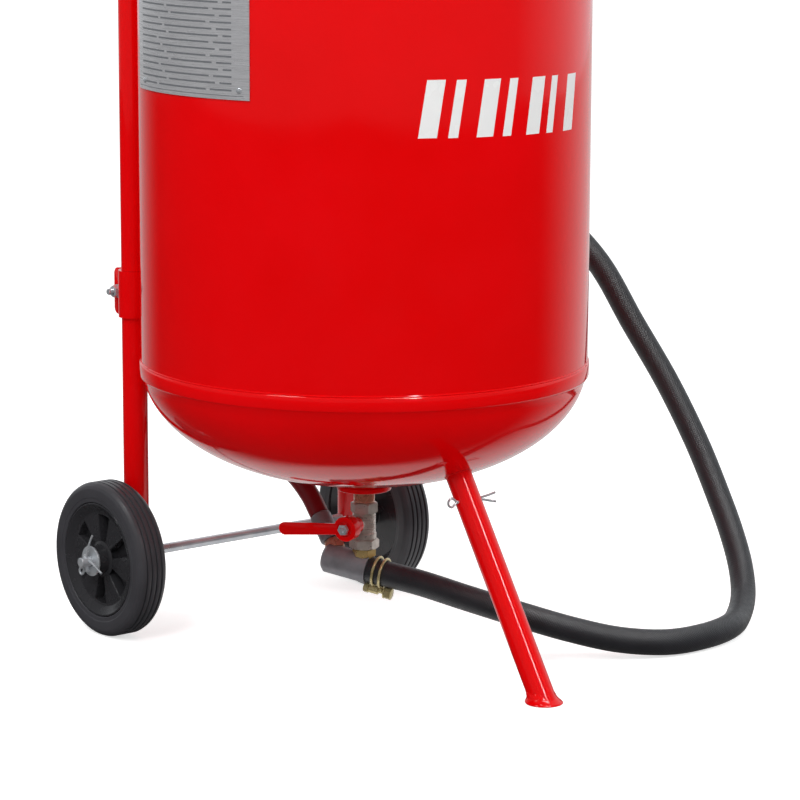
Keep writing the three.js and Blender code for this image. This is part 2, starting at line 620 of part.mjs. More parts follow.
// The push handle: a bow of tube standing on the uprights, with a grip on its bar.
function handle() {
  const group = new THREE.Group();
  const corner = 38;
  const barZ = HANDLE_TOP - GRIP_RADIUS;
  const route = [vec(-UPRIGHT_X, UPRIGHT_Y, UPRIGHT_TOP + GAP), vec(-UPRIGHT_X, UPRIGHT_Y, 780)];
  route.push(vec(-UPRIGHT_X, UPRIGHT_Y, 835), vec(-UPRIGHT_X, 181, 850), vec(-UPRIGHT_X, 189, 872));
  route.push(vec(-UPRIGHT_X, 218, 927), vec(-UPRIGHT_X + 3, 235, 954));
  route.push(vec(-UPRIGHT_X + 18, 246, barZ - 3), vec(-UPRIGHT_X + corner, HANDLE_Y, barZ));
  route.push(vec(-40, HANDLE_Y, barZ));
  const mirrored = route.map((point) => vec(-point.x, point.y, point.z)).reverse();
  const bow = alongRoute([...route, vec(0, HANDLE_Y, barZ), ...mirrored], TUBE_RADIUS, 44, 10);
  group.add(piece("handle_bow", bow, paint));

  const grip = ring(TUBE_RADIUS + 1, GRIP_RADIUS, -72, 72, 20);
  const gripPlace = vec(0, HANDLE_Y, HANDLE_TOP - GRIP_RADIUS);
  group.add(piece("handle_grip", aimed(grip, gripPlace, vec(1, 0, 0)), rubber));

  // A peg on the back of the right upright carries the coiled hose.
  const pegRadius = 4;
  const pegZ = COIL_CENTRE.z + COIL_RADIUS - HOSE_RADIUS - pegRadius - 6 * GAP;
  const peg = [[TUBE_RADIUS + GAP, 0], [40, 0], [66, 0], [76, 5], [78.8, 22]]
    .map(([back, up]) => vec(UPRIGHT_X, UPRIGHT_Y + back, pegZ + up));
  group.add(piece("hose_hook", alongRoute(peg, pegRadius, 14, 8), zinc));
  return group;
}

// ---- air inlet on the top head ----

function airInlet() {
  const group = new THREE.Group();
  group.position.copy(MANIFOLD);
  const headTop = 2 * TANK_MIDDLE - (HEAD_TANGENT - headDrop(Math.hypot(MANIFOLD.x, MANIFOLD.y)));
  const riserFoot = headTop - MANIFOLD.z + 7;
  const toLeft = vec(-1, 0, 0);
  const toRight = vec(1, 0, 0);
  const toBack = vec(0, 1, 0);
  const toFront = vec(0, -1, 0);
  const origin = vec(0, 0, 0);

  const cross = joined(
    block(26, 26, 26),
    disc(8.5, riserFoot, 0, 16),
    disc(14, riserFoot, riserFoot + 9, 20),
    disc(7, 0, 20, 16),
    aimed(disc(8.5, 0, 18, 16), origin, toLeft),
    aimed(disc(8.5, 0, 18, 16), origin, toRight),
    aimed(disc(10.5, 0, 30, 16), origin, toBack),
  );
  group.add(piece("inlet_manifold", cross, brass));

  // Pressure gauge, face to the front
  const gaugeCentre = vec(0, 0, 48);
  const caseShape = turned([
    [0, -12], [24, -12], [26, -10], [27, 6], [27, 9], [24.5, 9], [24.5, 3], [0, 3],
  ]);
  const gaugeCase = joined(
    aimed(caseShape, gaugeCentre, toFront), disc(5, 20 + GAP, 26, 12), hexagon(6.5, 20 + GAP, 24),
  );
  group.add(piece("pressure_gauge", gaugeCase, blackPlastic));
  // The needle rests at the start of its scale.
  const needle = joined(
    block(2.4, 1, 24, 0, -4.2, 6), aimed(disc(3, 3 + GAP, 5, 12), origin, toFront),
  ).rotateY(NEEDLE_REST);
  group.add(piece("gauge_needle", needle.translate(0, 0, gaugeCentre.z), rubber));

  // Safety valve to the right, with its pull ring
  const safety = turned([
    [0, 18 + GAP], [9, 18 + GAP], [9, 27], [7, 28], [7, 44], [3, 46], [3, 48], [0, 48],
  ], 16);
  group.add(piece("safety_valve", aimed(safety, origin, toRight), brass));
  const pullRing = joined(
    aimed(disc(2.5, 48 + GAP, 53, 10), origin, toRight),
    new THREE.TorusGeometry(8, 1.2, 5, 12).rotateX(Math.PI / 2).translate(60.5, 0, 0),
  );
  group.add(piece("safety_pull_ring", pullRing, zinc));

  // Water separator to the left, with its clear bowl
  const separatorX = -42;
  const bowlTop = -17;
  const head = joined(
    disc(20, bowlTop + GAP, 15, 24).translate(separatorX, 0, 0),
    aimed(disc(9, 18 + GAP, 66, 16), origin, toLeft),
  );
  group.add(piece("separator_head", head, zinc));
  const bowl = turned([
    [0, -86], [5, -86], [5, -80], [14, -77], [18, -70], [18, bowlTop], [15, bowlTop],
    [15, -68], [12, -74], [0, -74],
  ]).translate(separatorX, 0, 0);
  group.add(piece("separator_bowl", bowl, clearPlastic));

  // Inlet ball valve with its quick coupling, and its lever on top
  const valveX = -84;
  const inletBody = joined(
    aimed(disc(10, 66 + GAP, 104, 20), origin, toLeft),
    aimed(hexagon(11.5, 94, 104), origin, toLeft),
    aimed(disc(5.5, 104, 130, 16), origin, toLeft),
    disc(6, 0, 15, 16).translate(valveX, 0, 0),
  );
  group.add(piece("inlet_valve_body", inletBody, nickel));
  const leverArm = joined(
    disc(8, 15 + GAP, 19, 20).translate(valveX, 0, 0),
    block(12, 62, 2.6, valveX, -31, 17.6),
  );
  group.add(piece("inlet_valve_lever", leverArm, paint));
  return group;
}

const blaster = new THREE.Group();
blaster.add(
  tank(), filler(), dataPlate(), outlet(), mediaValve(), mixingChamber(), airHose(), hoseClamp(),
  blastHose(), nozzle(), runningGear(), frontLeg(), uprights(), handle(), airInlet(),
);

export default blaster;
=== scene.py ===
"""A wheeled pressure pot for abrasive blasting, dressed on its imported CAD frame.

+Z is up and the leg stands towards -Y. Outlines and places are written in millimetres, and
piece() turns them into metres. The camera and studio are in metres. A piece is made about its own
+Z and then aimed.
"""

import json
from math import cos, hypot, pi, radians, sin, tan

import bmesh
import bpy
from mathutils import Matrix, Vector

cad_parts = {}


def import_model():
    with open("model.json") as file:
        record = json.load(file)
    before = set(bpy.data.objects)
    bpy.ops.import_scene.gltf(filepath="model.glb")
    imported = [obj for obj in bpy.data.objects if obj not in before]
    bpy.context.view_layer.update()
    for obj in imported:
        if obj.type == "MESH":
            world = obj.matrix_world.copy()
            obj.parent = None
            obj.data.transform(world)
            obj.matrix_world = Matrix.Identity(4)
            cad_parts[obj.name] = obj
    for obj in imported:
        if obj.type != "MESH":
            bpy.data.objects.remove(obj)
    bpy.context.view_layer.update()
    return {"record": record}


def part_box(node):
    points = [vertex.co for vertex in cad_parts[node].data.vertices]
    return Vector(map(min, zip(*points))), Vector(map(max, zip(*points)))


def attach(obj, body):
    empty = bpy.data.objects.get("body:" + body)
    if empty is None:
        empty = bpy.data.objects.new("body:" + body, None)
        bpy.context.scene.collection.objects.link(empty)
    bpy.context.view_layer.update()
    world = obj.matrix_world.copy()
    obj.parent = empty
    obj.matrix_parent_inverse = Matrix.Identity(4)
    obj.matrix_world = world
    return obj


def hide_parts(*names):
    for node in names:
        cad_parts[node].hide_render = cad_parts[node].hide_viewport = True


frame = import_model()

MM = 0.001
UP = Vector((0, 0, 1))
LEFT, RIGHT = Vector((-1, 0, 0)), Vector((1, 0, 0))
FRONT, BACK = Vector((0, -1, 0)), Vector((0, 1, 0))


def vec(x, y, z):
    return Vector((x, y, z))


def span(node):
    """A CAD node's lowest and highest corners, in millimetres."""
    low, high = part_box(node)
    return low / MM, high / MM


# ---- sizes, from the frame where it holds them ----

GAP = 0.3
SHELL_LOW, SHELL_HIGH = span("tank_shell")
TANK_RADIUS = SHELL_HIGH.x
LOWER_SEAM = SHELL_LOW.z - GAP
UPPER_SEAM = SHELL_HIGH.z + GAP
MIDDLE_Z = (LOWER_SEAM + UPPER_SEAM) / 2
TANK_WALL = 2.5
BAND_PROUD = 1.2
BAND_HEIGHT = 13
HEAD_TANGENT = LOWER_SEAM + 2
HEAD_DEPTH = 113
HEAD_ROUNDNESS = 2.1

TUBE_RADIUS = 11.5
UPRIGHT_X = (span("right_upright")[0].x + span("right_upright")[1].x) / 2
UPRIGHT_Y = (span("right_upright")[0].y + span("right_upright")[1].y) / 2
GRIP_LOW, GRIP_HIGH = span("handle_grip")
GRIP_RADIUS = (GRIP_HIGH.z - GRIP_LOW.z) / 2
HANDLE_Y = (GRIP_LOW.y + GRIP_HIGH.y) / 2
BAR_Z = (GRIP_LOW.z + GRIP_HIGH.z) / 2

TYRE_LOW, TYRE_HIGH = span("right_tyre")
WHEEL_RADIUS = (TYRE_HIGH.z - TYRE_LOW.z) / 2
WHEEL_WIDTH = TYRE_HIGH.x - TYRE_LOW.x
WHEEL_MIDDLE_X = (TYRE_LOW.x + TYRE_HIGH.x) / 2
AXLE_RADIUS = 4.5
RIM_RADIUS = 53
DISH_DEPTH = 6
HUB_PROUD = 4.7
WASHER_RADIUS = 14
SPOKES = 6
SPLIT_PIN_OUT = 6.6

FOOT = vec(0, -246.2, 0)
LEG_TOP = vec(0, -126.9, 187)
FOOT_RADIUS = 16.3
LEG_PIN_Z = 159.5

LEVER_AZIMUTH = radians(200)
STEM_WAY = vec(cos(LEVER_AZIMUTH), sin(LEVER_AZIMUTH), 0)
VALVE_CENTRE = vec(0, 0, 114.5)
LEVER_DROOP = radians(6)

CHAMBER_CENTRE = vec(0, 0, 72.5)
CHAMBER_AXIS = vec(0.473, -0.863, -0.172).normalized()
CHAMBER_RADIUS = 13.5
AIR_HOSE_AXIS = vec(0.039, 0.683, 0.729).normalized()
AIR_HOSE_RADIUS = 9
HOSE_RADIUS = 11.75
COIL_CENTRE = vec(121, 205, 570)
COIL_RADIUS = 130
COIL_PITCH = 27
COIL_TURNS = 1.5
COIL_STEPS = 18
NOZZLE_TOP = vec(-9, 246, 440)
MANIFOLD = vec(-65, 115, 800)
SEPARATOR_X = -42
INLET_STEM_X = -84

# The blast hose, from the mixing chamber along the floor and up to its coil on the peg
BLAST_HOSE_ROUTE = [
    (2.6, -4.7, 71.6), (11, -20, 68.5), (28.4, -46.5, 62.6), (48.5, -87, 53.5), (78.4, -131, 41),
    (111, -158.5, 28.7), (148, -181, 18), (190, -200, 12.8), (235, -203, 12.1), (275, -193, 12.2),
    (308, -172, 13.2), (337, -149, 24), (356, -126, 44), (369, -100, 71), (377, -71, 105),
    (379, -42, 146), (373, -5, 202), (360, 32, 258), (346, 67, 314), (320, 106, 362),
    (269, 167, 436), (252, 193, 495),
]

# The air hose, from the mixing chamber up the back of the tank to the manifold
AIR_HOSE_ROUTE = [
    (-7.8, 55.3, 113), (-7.4, 71.8, 130), (-11, 95, 148.5), (-22, 125, 161.5),
    (-34, 152, 176), (-46, 178, 198), (-56, 197, 228), (-62, 206, 262), (-65, 210, 300),
    (-65, 211, 400), (-65, 211, 560), (-65, 211, 700), (-65, 210, 736), (-65, 200, 769),
    (-65, 180, 791), (-65, 160, 799), (-65, 145.7, 800),
]


def blast_hose_points():
    points = [Vector(p) for p in BLAST_HOSE_ROUTE]
    for i in range(COIL_STEPS + 1):
        turns = COIL_TURNS * i / COIL_STEPS
        angle = 2 * pi * turns
        across = COIL_RADIUS * cos(angle)
        points.append(COIL_CENTRE + vec(across, COIL_PITCH * turns, COIL_RADIUS * sin(angle)))
    points += [vec(NOZZLE_TOP.x, NOZZLE_TOP.y, 505), NOZZLE_TOP]
    return points


# ---- looks ----

LOOKS = {}


class Nodes:
    """The node tree of a material or world, and short ways to add to it."""

    def __init__(self, owner):
        owner.use_nodes = True
        self.tree = owner.node_tree

    def node(self, kind, inputs=None, out=0, **settings):
        """Adds a node, sets its inputs or links other nodes' outputs to them, and gives one output."""
        node = self.tree.nodes.new("ShaderNode" + kind)
        for name, value in settings.items():
            setattr(node, name, value)
        for name, value in (inputs or {}).items():
            self.feed(node.inputs[name], value)
        return node.outputs[out]

    def feed(self, socket, value):
        if isinstance(value, bpy.types.NodeSocket):
            self.tree.links.new(value, socket)
        else:
            socket.default_value = value


class Look(Nodes):
    """A material whose shader is fed by textures in the piece's own coordinates, in metres."""

    def __init__(self, name, **sockets):
        LOOKS[name] = bpy.data.materials.new(name)
        super().__init__(LOOKS[name])
        self.shader = self.tree.nodes["Principled BSDF"]
        for socket, value in sockets.items():
            self.feed(self.shader.inputs[socket.replace("_", " ")], value)

    def texture(self, kind, inputs, stretch, space, **settings):
        mapped = self.node("Mapping", {"Vector": self.node("TexCoord", out=space), "Scale": stretch})
        return self.node(kind, {"Vector": mapped, **inputs}, "Fac", **settings)

    def noise(self, per_metre, detail=3.0, stretch=(1, 1, 1)):
        return self.texture("TexNoise", {"Scale": per_metre, "Detail": detail}, stretch, "Object")

    def waves(self, stretch):
        """Fine slanted waves on a tube's own surface."""
        return self.texture("TexWave", {"Scale": 1}, stretch, "UV", bands_direction="DIAGONAL")

    def spread(self, source, low, high):
        """A texture's middle range, spread from low to high."""
        ends = {"From Min": 0.3, "From Max": 0.7, "To Min": low, "To Max": high}
        return self.node("MapRange", {"Value": source, **ends})

    def product(self, first, second):
        return self.node("Math", {0: first, 1: second}, operation="MULTIPLY")

    def colour(self, factor, first, second):
        inputs = {"Factor": factor, "A": (*first, 1), "B": (*second, 1)}
        self.feed(self.shader.inputs["Base Color"], self.node("Mix", inputs, "Result", data_type="RGBA"))

    def roughness(self, source, low, high):
        self.feed(self.shader.inputs["Roughness"], self.spread(source, low, high))

    def bump(self, height, depth_mm, strength=1.0):
        """Relief on top of any that the look already has."""
        normal = self.shader.inputs["Normal"]
        inputs = {"Height": height, "Distance": depth_mm * MM, "Strength": strength}
        if normal.links:
            inputs["Normal"] = normal.links[0].from_socket
        self.feed(normal, self.node("Bump", inputs))


def red_paint():
    look = Look("red_paint", IOR=1.5)
    look.colour(look.spread(look.noise(9), 0, 1), (0.74, 0.0004, 0.001), (0.79, 0.0008, 0.0025))
    look.roughness(look.noise(26, 4), 0.05, 0.09)
    look.bump(look.noise(330, 2), 0.05, 0.35)


def black_rubber():
    """Hose rubber, with the print of the cloth that it was cured in."""
    look = Look("black_rubber", IOR=1.52, Specular_IOR_Level=0.75)
    look.colour(look.noise(40, 4), (0.01, 0.01, 0.013), (0.022, 0.022, 0.027))
    look.roughness(look.noise(220, 3), 0.34, 0.5)
    warp = look.waves((260, 260, 1))
    weft = look.waves((260, -260, 1))
    look.bump(look.product(warp, weft), 0.4, 0.6)
    look.bump(look.noise(700, 2), 0.25, 0.5)


def grip_rubber():
    look = Look("grip_rubber", IOR=1.5)
    look.colour(look.noise(60, 4), (0.014, 0.014, 0.015), (0.03, 0.03, 0.032))
    look.roughness(look.noise(120, 4), 0.5, 0.66)
    look.bump(look.noise(1300, 2), 0.08, 0.5)


def tyre_rubber():
    look = Look("tyre_rubber", IOR=1.5, Specular_IOR_Level=0.55)
    look.colour(look.noise(35, 5), (0.034, 0.033, 0.038), (0.062, 0.061, 0.069))
    look.roughness(look.noise(90, 4), 0.34, 0.46)
    look.bump(look.noise(700, 3), 0.06, 0.35)
    look.bump(look.noise(50, 2), 0.15, 0.2)


def black_plastic():
    look = Look("black_plastic", IOR=1.5)
    look.colour(look.noise(30, 3), (0.02, 0.02, 0.022), (0.034, 0.033, 0.037))
    look.roughness(look.noise(80, 3), 0.2, 0.3)
    look.bump(look.noise(1500, 2), 0.04, 0.4)


def metal(name, first, second, low, high):
    """A metal with fine marks left round its own axis by turning, and slight stains."""
    look = Look(name, Metallic=0.62)
    look.colour(look.spread(look.noise(70, 4), 0, 1), first, second)
    look.roughness(look.noise(90, 3), low, high)
    look.bump(look.noise(1, 2, (30, 30, 1500)), 0.012, 0.3)


def turned_metals():
    metal("brass", (0.6, 0.4, 0.14), (0.76, 0.56, 0.24), 0.2, 0.32)
    metal("copper", (0.56, 0.3, 0.2), (0.76, 0.46, 0.32), 0.22, 0.36)
    metal("gold_zinc", (0.52, 0.42, 0.19), (0.74, 0.64, 0.36), 0.18, 0.32)
    metal("zinc", (0.6, 0.63, 0.67), (0.78, 0.81, 0.84), 0.16, 0.28)


def cast_nickel():
    """A nickel-plated casting, blasted and then faced, so its skin is finely pitted."""
    look = Look("nickel", Metallic=0.6)
    look.colour(look.spread(look.noise(120, 5), 0, 1), (0.5, 0.45, 0.4), (0.72, 0.66, 0.6))
    look.roughness(look.noise(300, 4), 0.26, 0.4)
    look.bump(look.noise(900, 3), 0.06, 0.4)
    look.bump(look.noise(1, 2, (60, 60, 1800)), 0.03, 0.3)


def bare_steel():
    look = Look("bare_steel", Metallic=0.45)
    look.colour(look.spread(look.noise(90, 5), 0, 1), (0.23, 0.225, 0.24), (0.32, 0.31, 0.335))
    look.roughness(look.noise(200, 4), 0.4, 0.55)
    look.bump(look.noise(1, 2, (80, 80, 2400)), 0.05, 0.4)
    look.bump(look.noise(800, 3), 0.05, 0.4)


def plate_silver():
    look = Look("plate", Metallic=0.45)
    look.colour(look.spread(look.noise(1, 3, (30, 30, 1500)), 0, 1), (0.5, 0.5, 0.52), (0.64, 0.64, 0.66))
    look.roughness(look.noise(1, 3, (40, 40, 1800)), 0.24, 0.36)
    look.bump(look.noise(1, 2, (60, 60, 2500)), 0.02, 0.3)


def plate_print():
    look = Look("plate_print", Metallic=0.3)
    look.colour(look.noise(300, 3), (0.16, 0.17, 0.18), (0.24, 0.25, 0.27))
    look.roughness(look.noise(200, 2), 0.35, 0.5)


def red_rubber():
    look = Look("red_rubber", IOR=1.5)
    look.colour(look.noise(50, 4), (0.16, 0.004, 0.008), (0.25, 0.008, 0.013))
    look.roughness(look.noise(150, 3), 0.3, 0.42)
    look.bump(look.waves((420, 420, 1)), 0.06, 0.3)


def white_marking():
    look = Look("white_marking", IOR=1.5, Coat_Weight=0.2, Coat_Roughness=0.05)
    look.colour(look.noise(50, 4), (0.82, 0.82, 0.82), (0.88, 0.88, 0.87))
    look.roughness(look.noise(60, 3), 0.2, 0.3)
    look.bump(look.noise(400, 2), 0.03, 0.3)


def clear_plastic():
    look = Look("clear_plastic", IOR=1.49, Transmission_Weight=0.92)
    look.colour(look.noise(40, 2), (0.86, 0.9, 0.92), (0.93, 0.96, 0.97))
    look.roughness(look.noise(90, 3), 0.03, 0.09)


def ceramic():
    look = Look("ceramic", IOR=1.6)
    look.colour(look.noise(120, 5), (0.72, 0.69, 0.62), (0.83, 0.81, 0.75))
    look.roughness(look.noise(200, 3), 0.4, 0.6)
    look.bump(look.noise(1200, 3), 0.05, 0.5)


for make_look in (
    red_paint, black_rubber, grip_rubber, tyre_rubber, black_plastic, turned_metals, cast_nickel, bare_steel,
    plate_silver, plate_print, red_rubber, white_marking, clear_plastic, ceramic,
):
    make_look()

BODY_OF_NODE = {n: b for b, nodes in frame["record"]["behaviour"]["bodies"].items() for n in nodes}


# ---- shapes, in millimetres about their own +Z ----


def rounded(outline, radius, steps=4):
    """A closed outline with its corners rounded. Points on the axis stay as they are."""
    made = []
    count = len(outline)
    for i, corner in enumerate(outline):
        corner = Vector(corner)
        before, after = Vector(outline[i - 1]), Vector(outline[(i + 1) % count])
        to_before, to_after = before - corner, after - corner
        reach = min(radius, 0.45 * to_before.length, 0.45 * to_after.length)
        if corner.x < 1e-6 or reach < 1e-6:
            made.append(tuple(corner))
            continue
        start = corner + to_before.normalized() * reach
        end = corner + to_after.normalized() * reach
        for k in range(steps + 1):
            t = k / steps
            made.append(tuple((1 - t) ** 2 * start + 2 * t * (1 - t) * corner + t * t * end))
    return made


def lathe(outline, segments=64):
    """Turned from (radius, height) points. An outline that starts and ends on the axis is solid."""
    shape = bmesh.new()
    angles = [2 * pi * i / segments for i in range(segments)]
    rings = []
    for radius, height in outline:
        if radius < 1e-6:
            rings.append([shape.verts.new((0, 0, height))])
        else:
            rings.append([shape.verts.new((radius * cos(a), radius * sin(a), height)) for a in angles])
    if len(rings[0]) > 1 or len(rings[-1]) > 1:
        rings.append(rings[0])
    for low, high in zip(rings, rings[1:]):
        for i in range(segments):
            j = (i + 1) % segments
            corners = [low[i % len(low)], low[j % len(low)], high[j % len(high)], high[i % len(high)]]
            distinct = list(dict.fromkeys(corners))
            if len(distinct) > 2:
                shape.faces.new(distinct)
    return shape


def turned(outline, edge, segments=64, steps=3):
    """A lathed shape with its corners rounded."""
    return lathe(rounded(outline, edge, steps), segments)


def ring(inner, outer, low, high, edge=0.4, segments=64):
    """A washer, collar or tube."""
    return turned([(inner, low), (outer, low), (outer, high), (inner, high)], edge, segments)


def disc(radius, low, high, edge=0.4, segments=64):
    """A solid round bar or plate."""
    return turned([(0, low), (radius, low), (radius, high), (0, high)], edge, segments)


def nut(flat, low, high, hole=0.0, sides=6, turn=0.0):
    """A nut or bolt head with flats this far from its axis and its corners chamfered."""
    per_side = 8
    half = pi / sides
    slope = tan(radians(30))
    face = flat * 0.97
    shape = bmesh.new()
    rows = []
    for i in range(sides * per_side):
        angle = 2 * pi * i / (sides * per_side)
        reach = flat / cos((angle % (2 * half)) - half)
        drop = (reach - face) * slope
        profile = [
            (hole, low), (face, low), (reach, low + drop), (reach, high - drop), (face, high), (hole, high),
        ]
        way = (cos(angle + turn), sin(angle + turn))
        rows.append([shape.verts.new((r * way[0], r * way[1], z)) for r, z in profile])
    for i, row in enumerate(rows):
        after = rows[(i + 1) % len(rows)]
        last = len(row) if hole else len(row) - 1
        for k in range(last):
            m = (k + 1) % len(row)
            shape.faces.new((row[k], after[k], after[m], row[m]))
    if not hole:
        bmesh.ops.remove_doubles(shape, verts=shape.verts, dist=1e-5)
    return shape


def repeated(count, start, pitch, *points):
    """Outline points, as (radius, height), given once and repeated up the axis."""
    return [(radius, start + i * pitch + z) for i in range(count) for radius, z in points]


def threaded(radius, low, high, pitch, depth):
    """A threaded rod end, its thread drawn as close rings."""
    root = radius - depth
    thread = repeated(int((high - low) / pitch), low, pitch, (root, 0.1), (radius, pitch / 2))
    return lathe([(0, low), (root, low), *thread, (root, high), (0, high)], 40)


def bridge(shape, low, high):
    """Faces between two closed rows of points."""
    for i in range(len(low)):
        shape.faces.new((low[i - 1], low[i], high[i], high[i - 1]))


def prism(outline, low, high, edge=0.5, steps=2):
    """A flat outline in x and y, extruded along z, with its rims rounded."""
    shape = bmesh.new()
    bottom, top = ([shape.verts.new((x, y, z)) for x, y in outline] for z in (low, high))
    shape.faces.new(reversed(bottom))
    shape.faces.new(top)
    bridge(shape, bottom, top)
    rims = [e for e in shape.edges if abs(e.verts[0].co.z - e.verts[1].co.z) < 1e-6]
    bmesh.ops.bevel(shape, geom=rims, offset=edge, segments=steps, affect="EDGES", profile=0.5)
    return shape


def block(width, depth, height, edge=0.8):
    """A box centred on the origin with rounded edges."""
    shape = bmesh.new()
    bmesh.ops.create_cube(shape, size=1)
    bmesh.ops.scale(shape, vec=(width, depth, height), verts=shape.verts)
    bmesh.ops.bevel(shape, geom=list(shape.edges), offset=edge, segments=3, affect="EDGES", profile=0.5)
    return shape


def arc(radius, start, end, steps, centre=(0, 0)):
    """Points on an arc, its angles in degrees."""
    angles = [radians(start + (end - start) * i / steps) for i in range(steps + 1)]
    return [(centre[0] + radius * cos(a), centre[1] + radius * sin(a)) for a in angles]


def rounded_plate(width, height, corner):
    """The outline of a plate centred on the origin, its corners round."""
    x, y = width / 2 - corner, height / 2 - corner
    corners = [(x, y, 0), (-x, y, 90), (-x, -y, 180), (x, -y, 270)]
    return [p for cx, cy, start in corners for p in arc(corner, start, start + 90, 6, (cx, cy))]


def smooth_route(points, spacing=3.0):
    """Points at an even spacing on the centripetal Catmull-Rom curve through the given ones."""
    points = [Vector(p) for p in points]
    points = [2 * points[0] - points[1], *points, 2 * points[-1] - points[-2]]
    fine = []
    for p0, p1, p2, p3 in zip(points, points[1:], points[2:], points[3:]):
        d0, d1, d2 = ((b - a).length ** 0.5 for a, b in ((p0, p1), (p1, p2), (p2, p3)))
        t1 = ((p1 - p0) / d0 - (p2 - p0) / (d0 + d1) + (p2 - p1) / d1) * d1
        t2 = ((p2 - p1) / d1 - (p3 - p1) / (d1 + d2) + (p3 - p2) / d2) * d1
        for i in range(24):
            t = i / 24
            cubic = (2 * p1 - 2 * p2 + t1 + t2) * t**3 + (-3 * p1 + 3 * p2 - 2 * t1 - t2) * t * t
            fine.append(p1 + t1 * t + cubic)
    fine.append(points[-2])
    even, left = [fine[0]], spacing
    for a, b in zip(fine, fine[1:]):
        step = (b - a).length
        while left < step:
            even.append(a.lerp(b, left / step))
            left += spacing
        left -= step
    if (even[-1] - fine[-1]).length < spacing / 2:
        even.pop()
    return [*even, fine[-1]]


def circle(centre, radius, first, second, count):
    """Points round a centre, from the first direction towards the second."""
    turns = (2 * pi * i / count for i in range(count))
    return [centre + radius * (first * cos(a) + second * sin(a)) for a in turns]


def tube(route, radius, sides=24, closed=False):
    """A round tube along close points, with texture coordinates round and along it in metres."""
    shape = bmesh.new()
    uv = shape.loops.layers.uv.new("along")
    count = len(route)
    run = [route[-1], *route, route[0]] if closed else [route[0], *route, route[-1]]
    ways = [(after - before).normalized() for before, after in zip(run, run[2:])]
    side = ways[0].orthogonal().normalized()
    rings = []
    for way, centre in zip(ways, route):
        side = (side - way * side.dot(way)).normalized()
        points = circle(centre, radius, side, way.cross(side), sides)
        rings.append([shape.verts.new(point) for point in points])
    width = 2 * pi * radius * MM / sides
    travelled = 0.0
    pairs = list(zip(rings, rings[1:])) + ([(rings[-1], rings[0])] if closed else [])
    for index, (low, high) in enumerate(pairs):
        step = (route[(index + 1) % count] - route[index]).length * MM
        for k in range(sides):
            m = (k + 1) % sides
            face = shape.faces.new((low[k], low[m], high[m], high[k]))
            corners = ((k, 0), (k + 1, 0), (k + 1, step), (k, step))
            for loop, (turn, along) in zip(face.loops, corners):
                loop[uv].uv = (turn * width, travelled + along)
        travelled += step
    if not closed:
        shape.faces.new(reversed(rings[0]))
        shape.faces.new(rings[-1])
    return shape


def rod(start, end, radius, edge=0.4, segments=24):
    start, end = Vector(start), Vector(end)
    return aimed(disc(radius, 0, (end - start).length, edge, segments), start, end - start)


def placing(place, direction, roll=0.0):
    turn = UP.rotation_difference(Vector(direction).normalized()).to_matrix().to_4x4()
    return Matrix.Translation(Vector(place)) @ turn @ Matrix.Rotation(roll, 4, "Z")


def aimed(shape, place, direction=UP, roll=0.0):
    """The shape moved to a place, with its own +Z along a direction."""
    bmesh.ops.transform(shape, matrix=placing(place, direction, roll), verts=shape.verts)
    return shape


def toward(direction, *shapes, place=(0, 0, 0)):
    """Shapes on one axis, joined and aimed together."""
    return aimed(joined(*shapes), place, direction)


def joined(*shapes):
    whole = bmesh.new()
    for shape in shapes:
        part = bpy.data.meshes.new("part")
        bmesh.ops.recalc_face_normals(shape, faces=shape.faces)
        shape.to_mesh(part)
        shape.free()
        whole.from_mesh(part)
        bpy.data.meshes.remove(part)
    return whole


def added(name, data):
    made = bpy.data.objects.new(name, data)
    bpy.context.scene.collection.objects.link(made)
    return made


def piece(name, shape, look, *nodes, body=None, place=(0, 0, 0), direction=UP, matrix=None, sharp=34):
    """Makes the shape a piece that stands for its CAD nodes and rides on their body."""
    mesh = bpy.data.meshes.new(name)
    bmesh.ops.recalc_face_normals(shape, faces=shape.faces)
    shape.to_mesh(mesh)
    shape.free()
    mesh.transform(Matrix.Scale(MM, 4))
    mesh.shade_smooth()
    mesh.set_sharp_from_angle(angle=radians(sharp))
    mesh.materials.append(LOOKS[look])
    made = added(name, mesh)
    world = (matrix or placing(place, direction)).copy()
    world.translation *= MM
    made.matrix_world = world
    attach(made, body or BODY_OF_NODE[nodes[0]])
    if nodes:
        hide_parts(*nodes)
    return made


# ---- camera ----


def camera():
    """Looks down on the pot a little, from the front and its left."""
    azimuth, drop, roll = radians(39.342), radians(10.51), radians(0.189)
    data = bpy.data.cameras.new("camera")
    data.sensor_width, data.lens = 36, 147.15
    data.clip_start, data.clip_end = 0.05, 60
    made = added("camera", data)
    aim = Matrix.Rotation(-azimuth, 4, "Z") @ Matrix.Rotation(pi / 2 - drop, 4, "X")
    place = Matrix.Translation(vec(-1.80683, -2.25477, 0.76325))
    made.matrix_world = place @ aim @ Matrix.Rotation(roll, 4, "Z")
    bpy.context.scene.camera = made


# ---- hoses ----


def hoses():
    route = smooth_route(blast_hose_points(), 4.0)
    hose = piece("hose_black", tube(route, HOSE_RADIUS, 40), "black_rubber", "blast_hose", sharp=60)
    on_hose = nozzle() + hose_clamp()
    air = smooth_route(AIR_HOSE_ROUTE, 4.0)
    piece("hose_red", tube(air, AIR_HOSE_RADIUS, 32), "red_rubber", "air_hose", sharp=60)


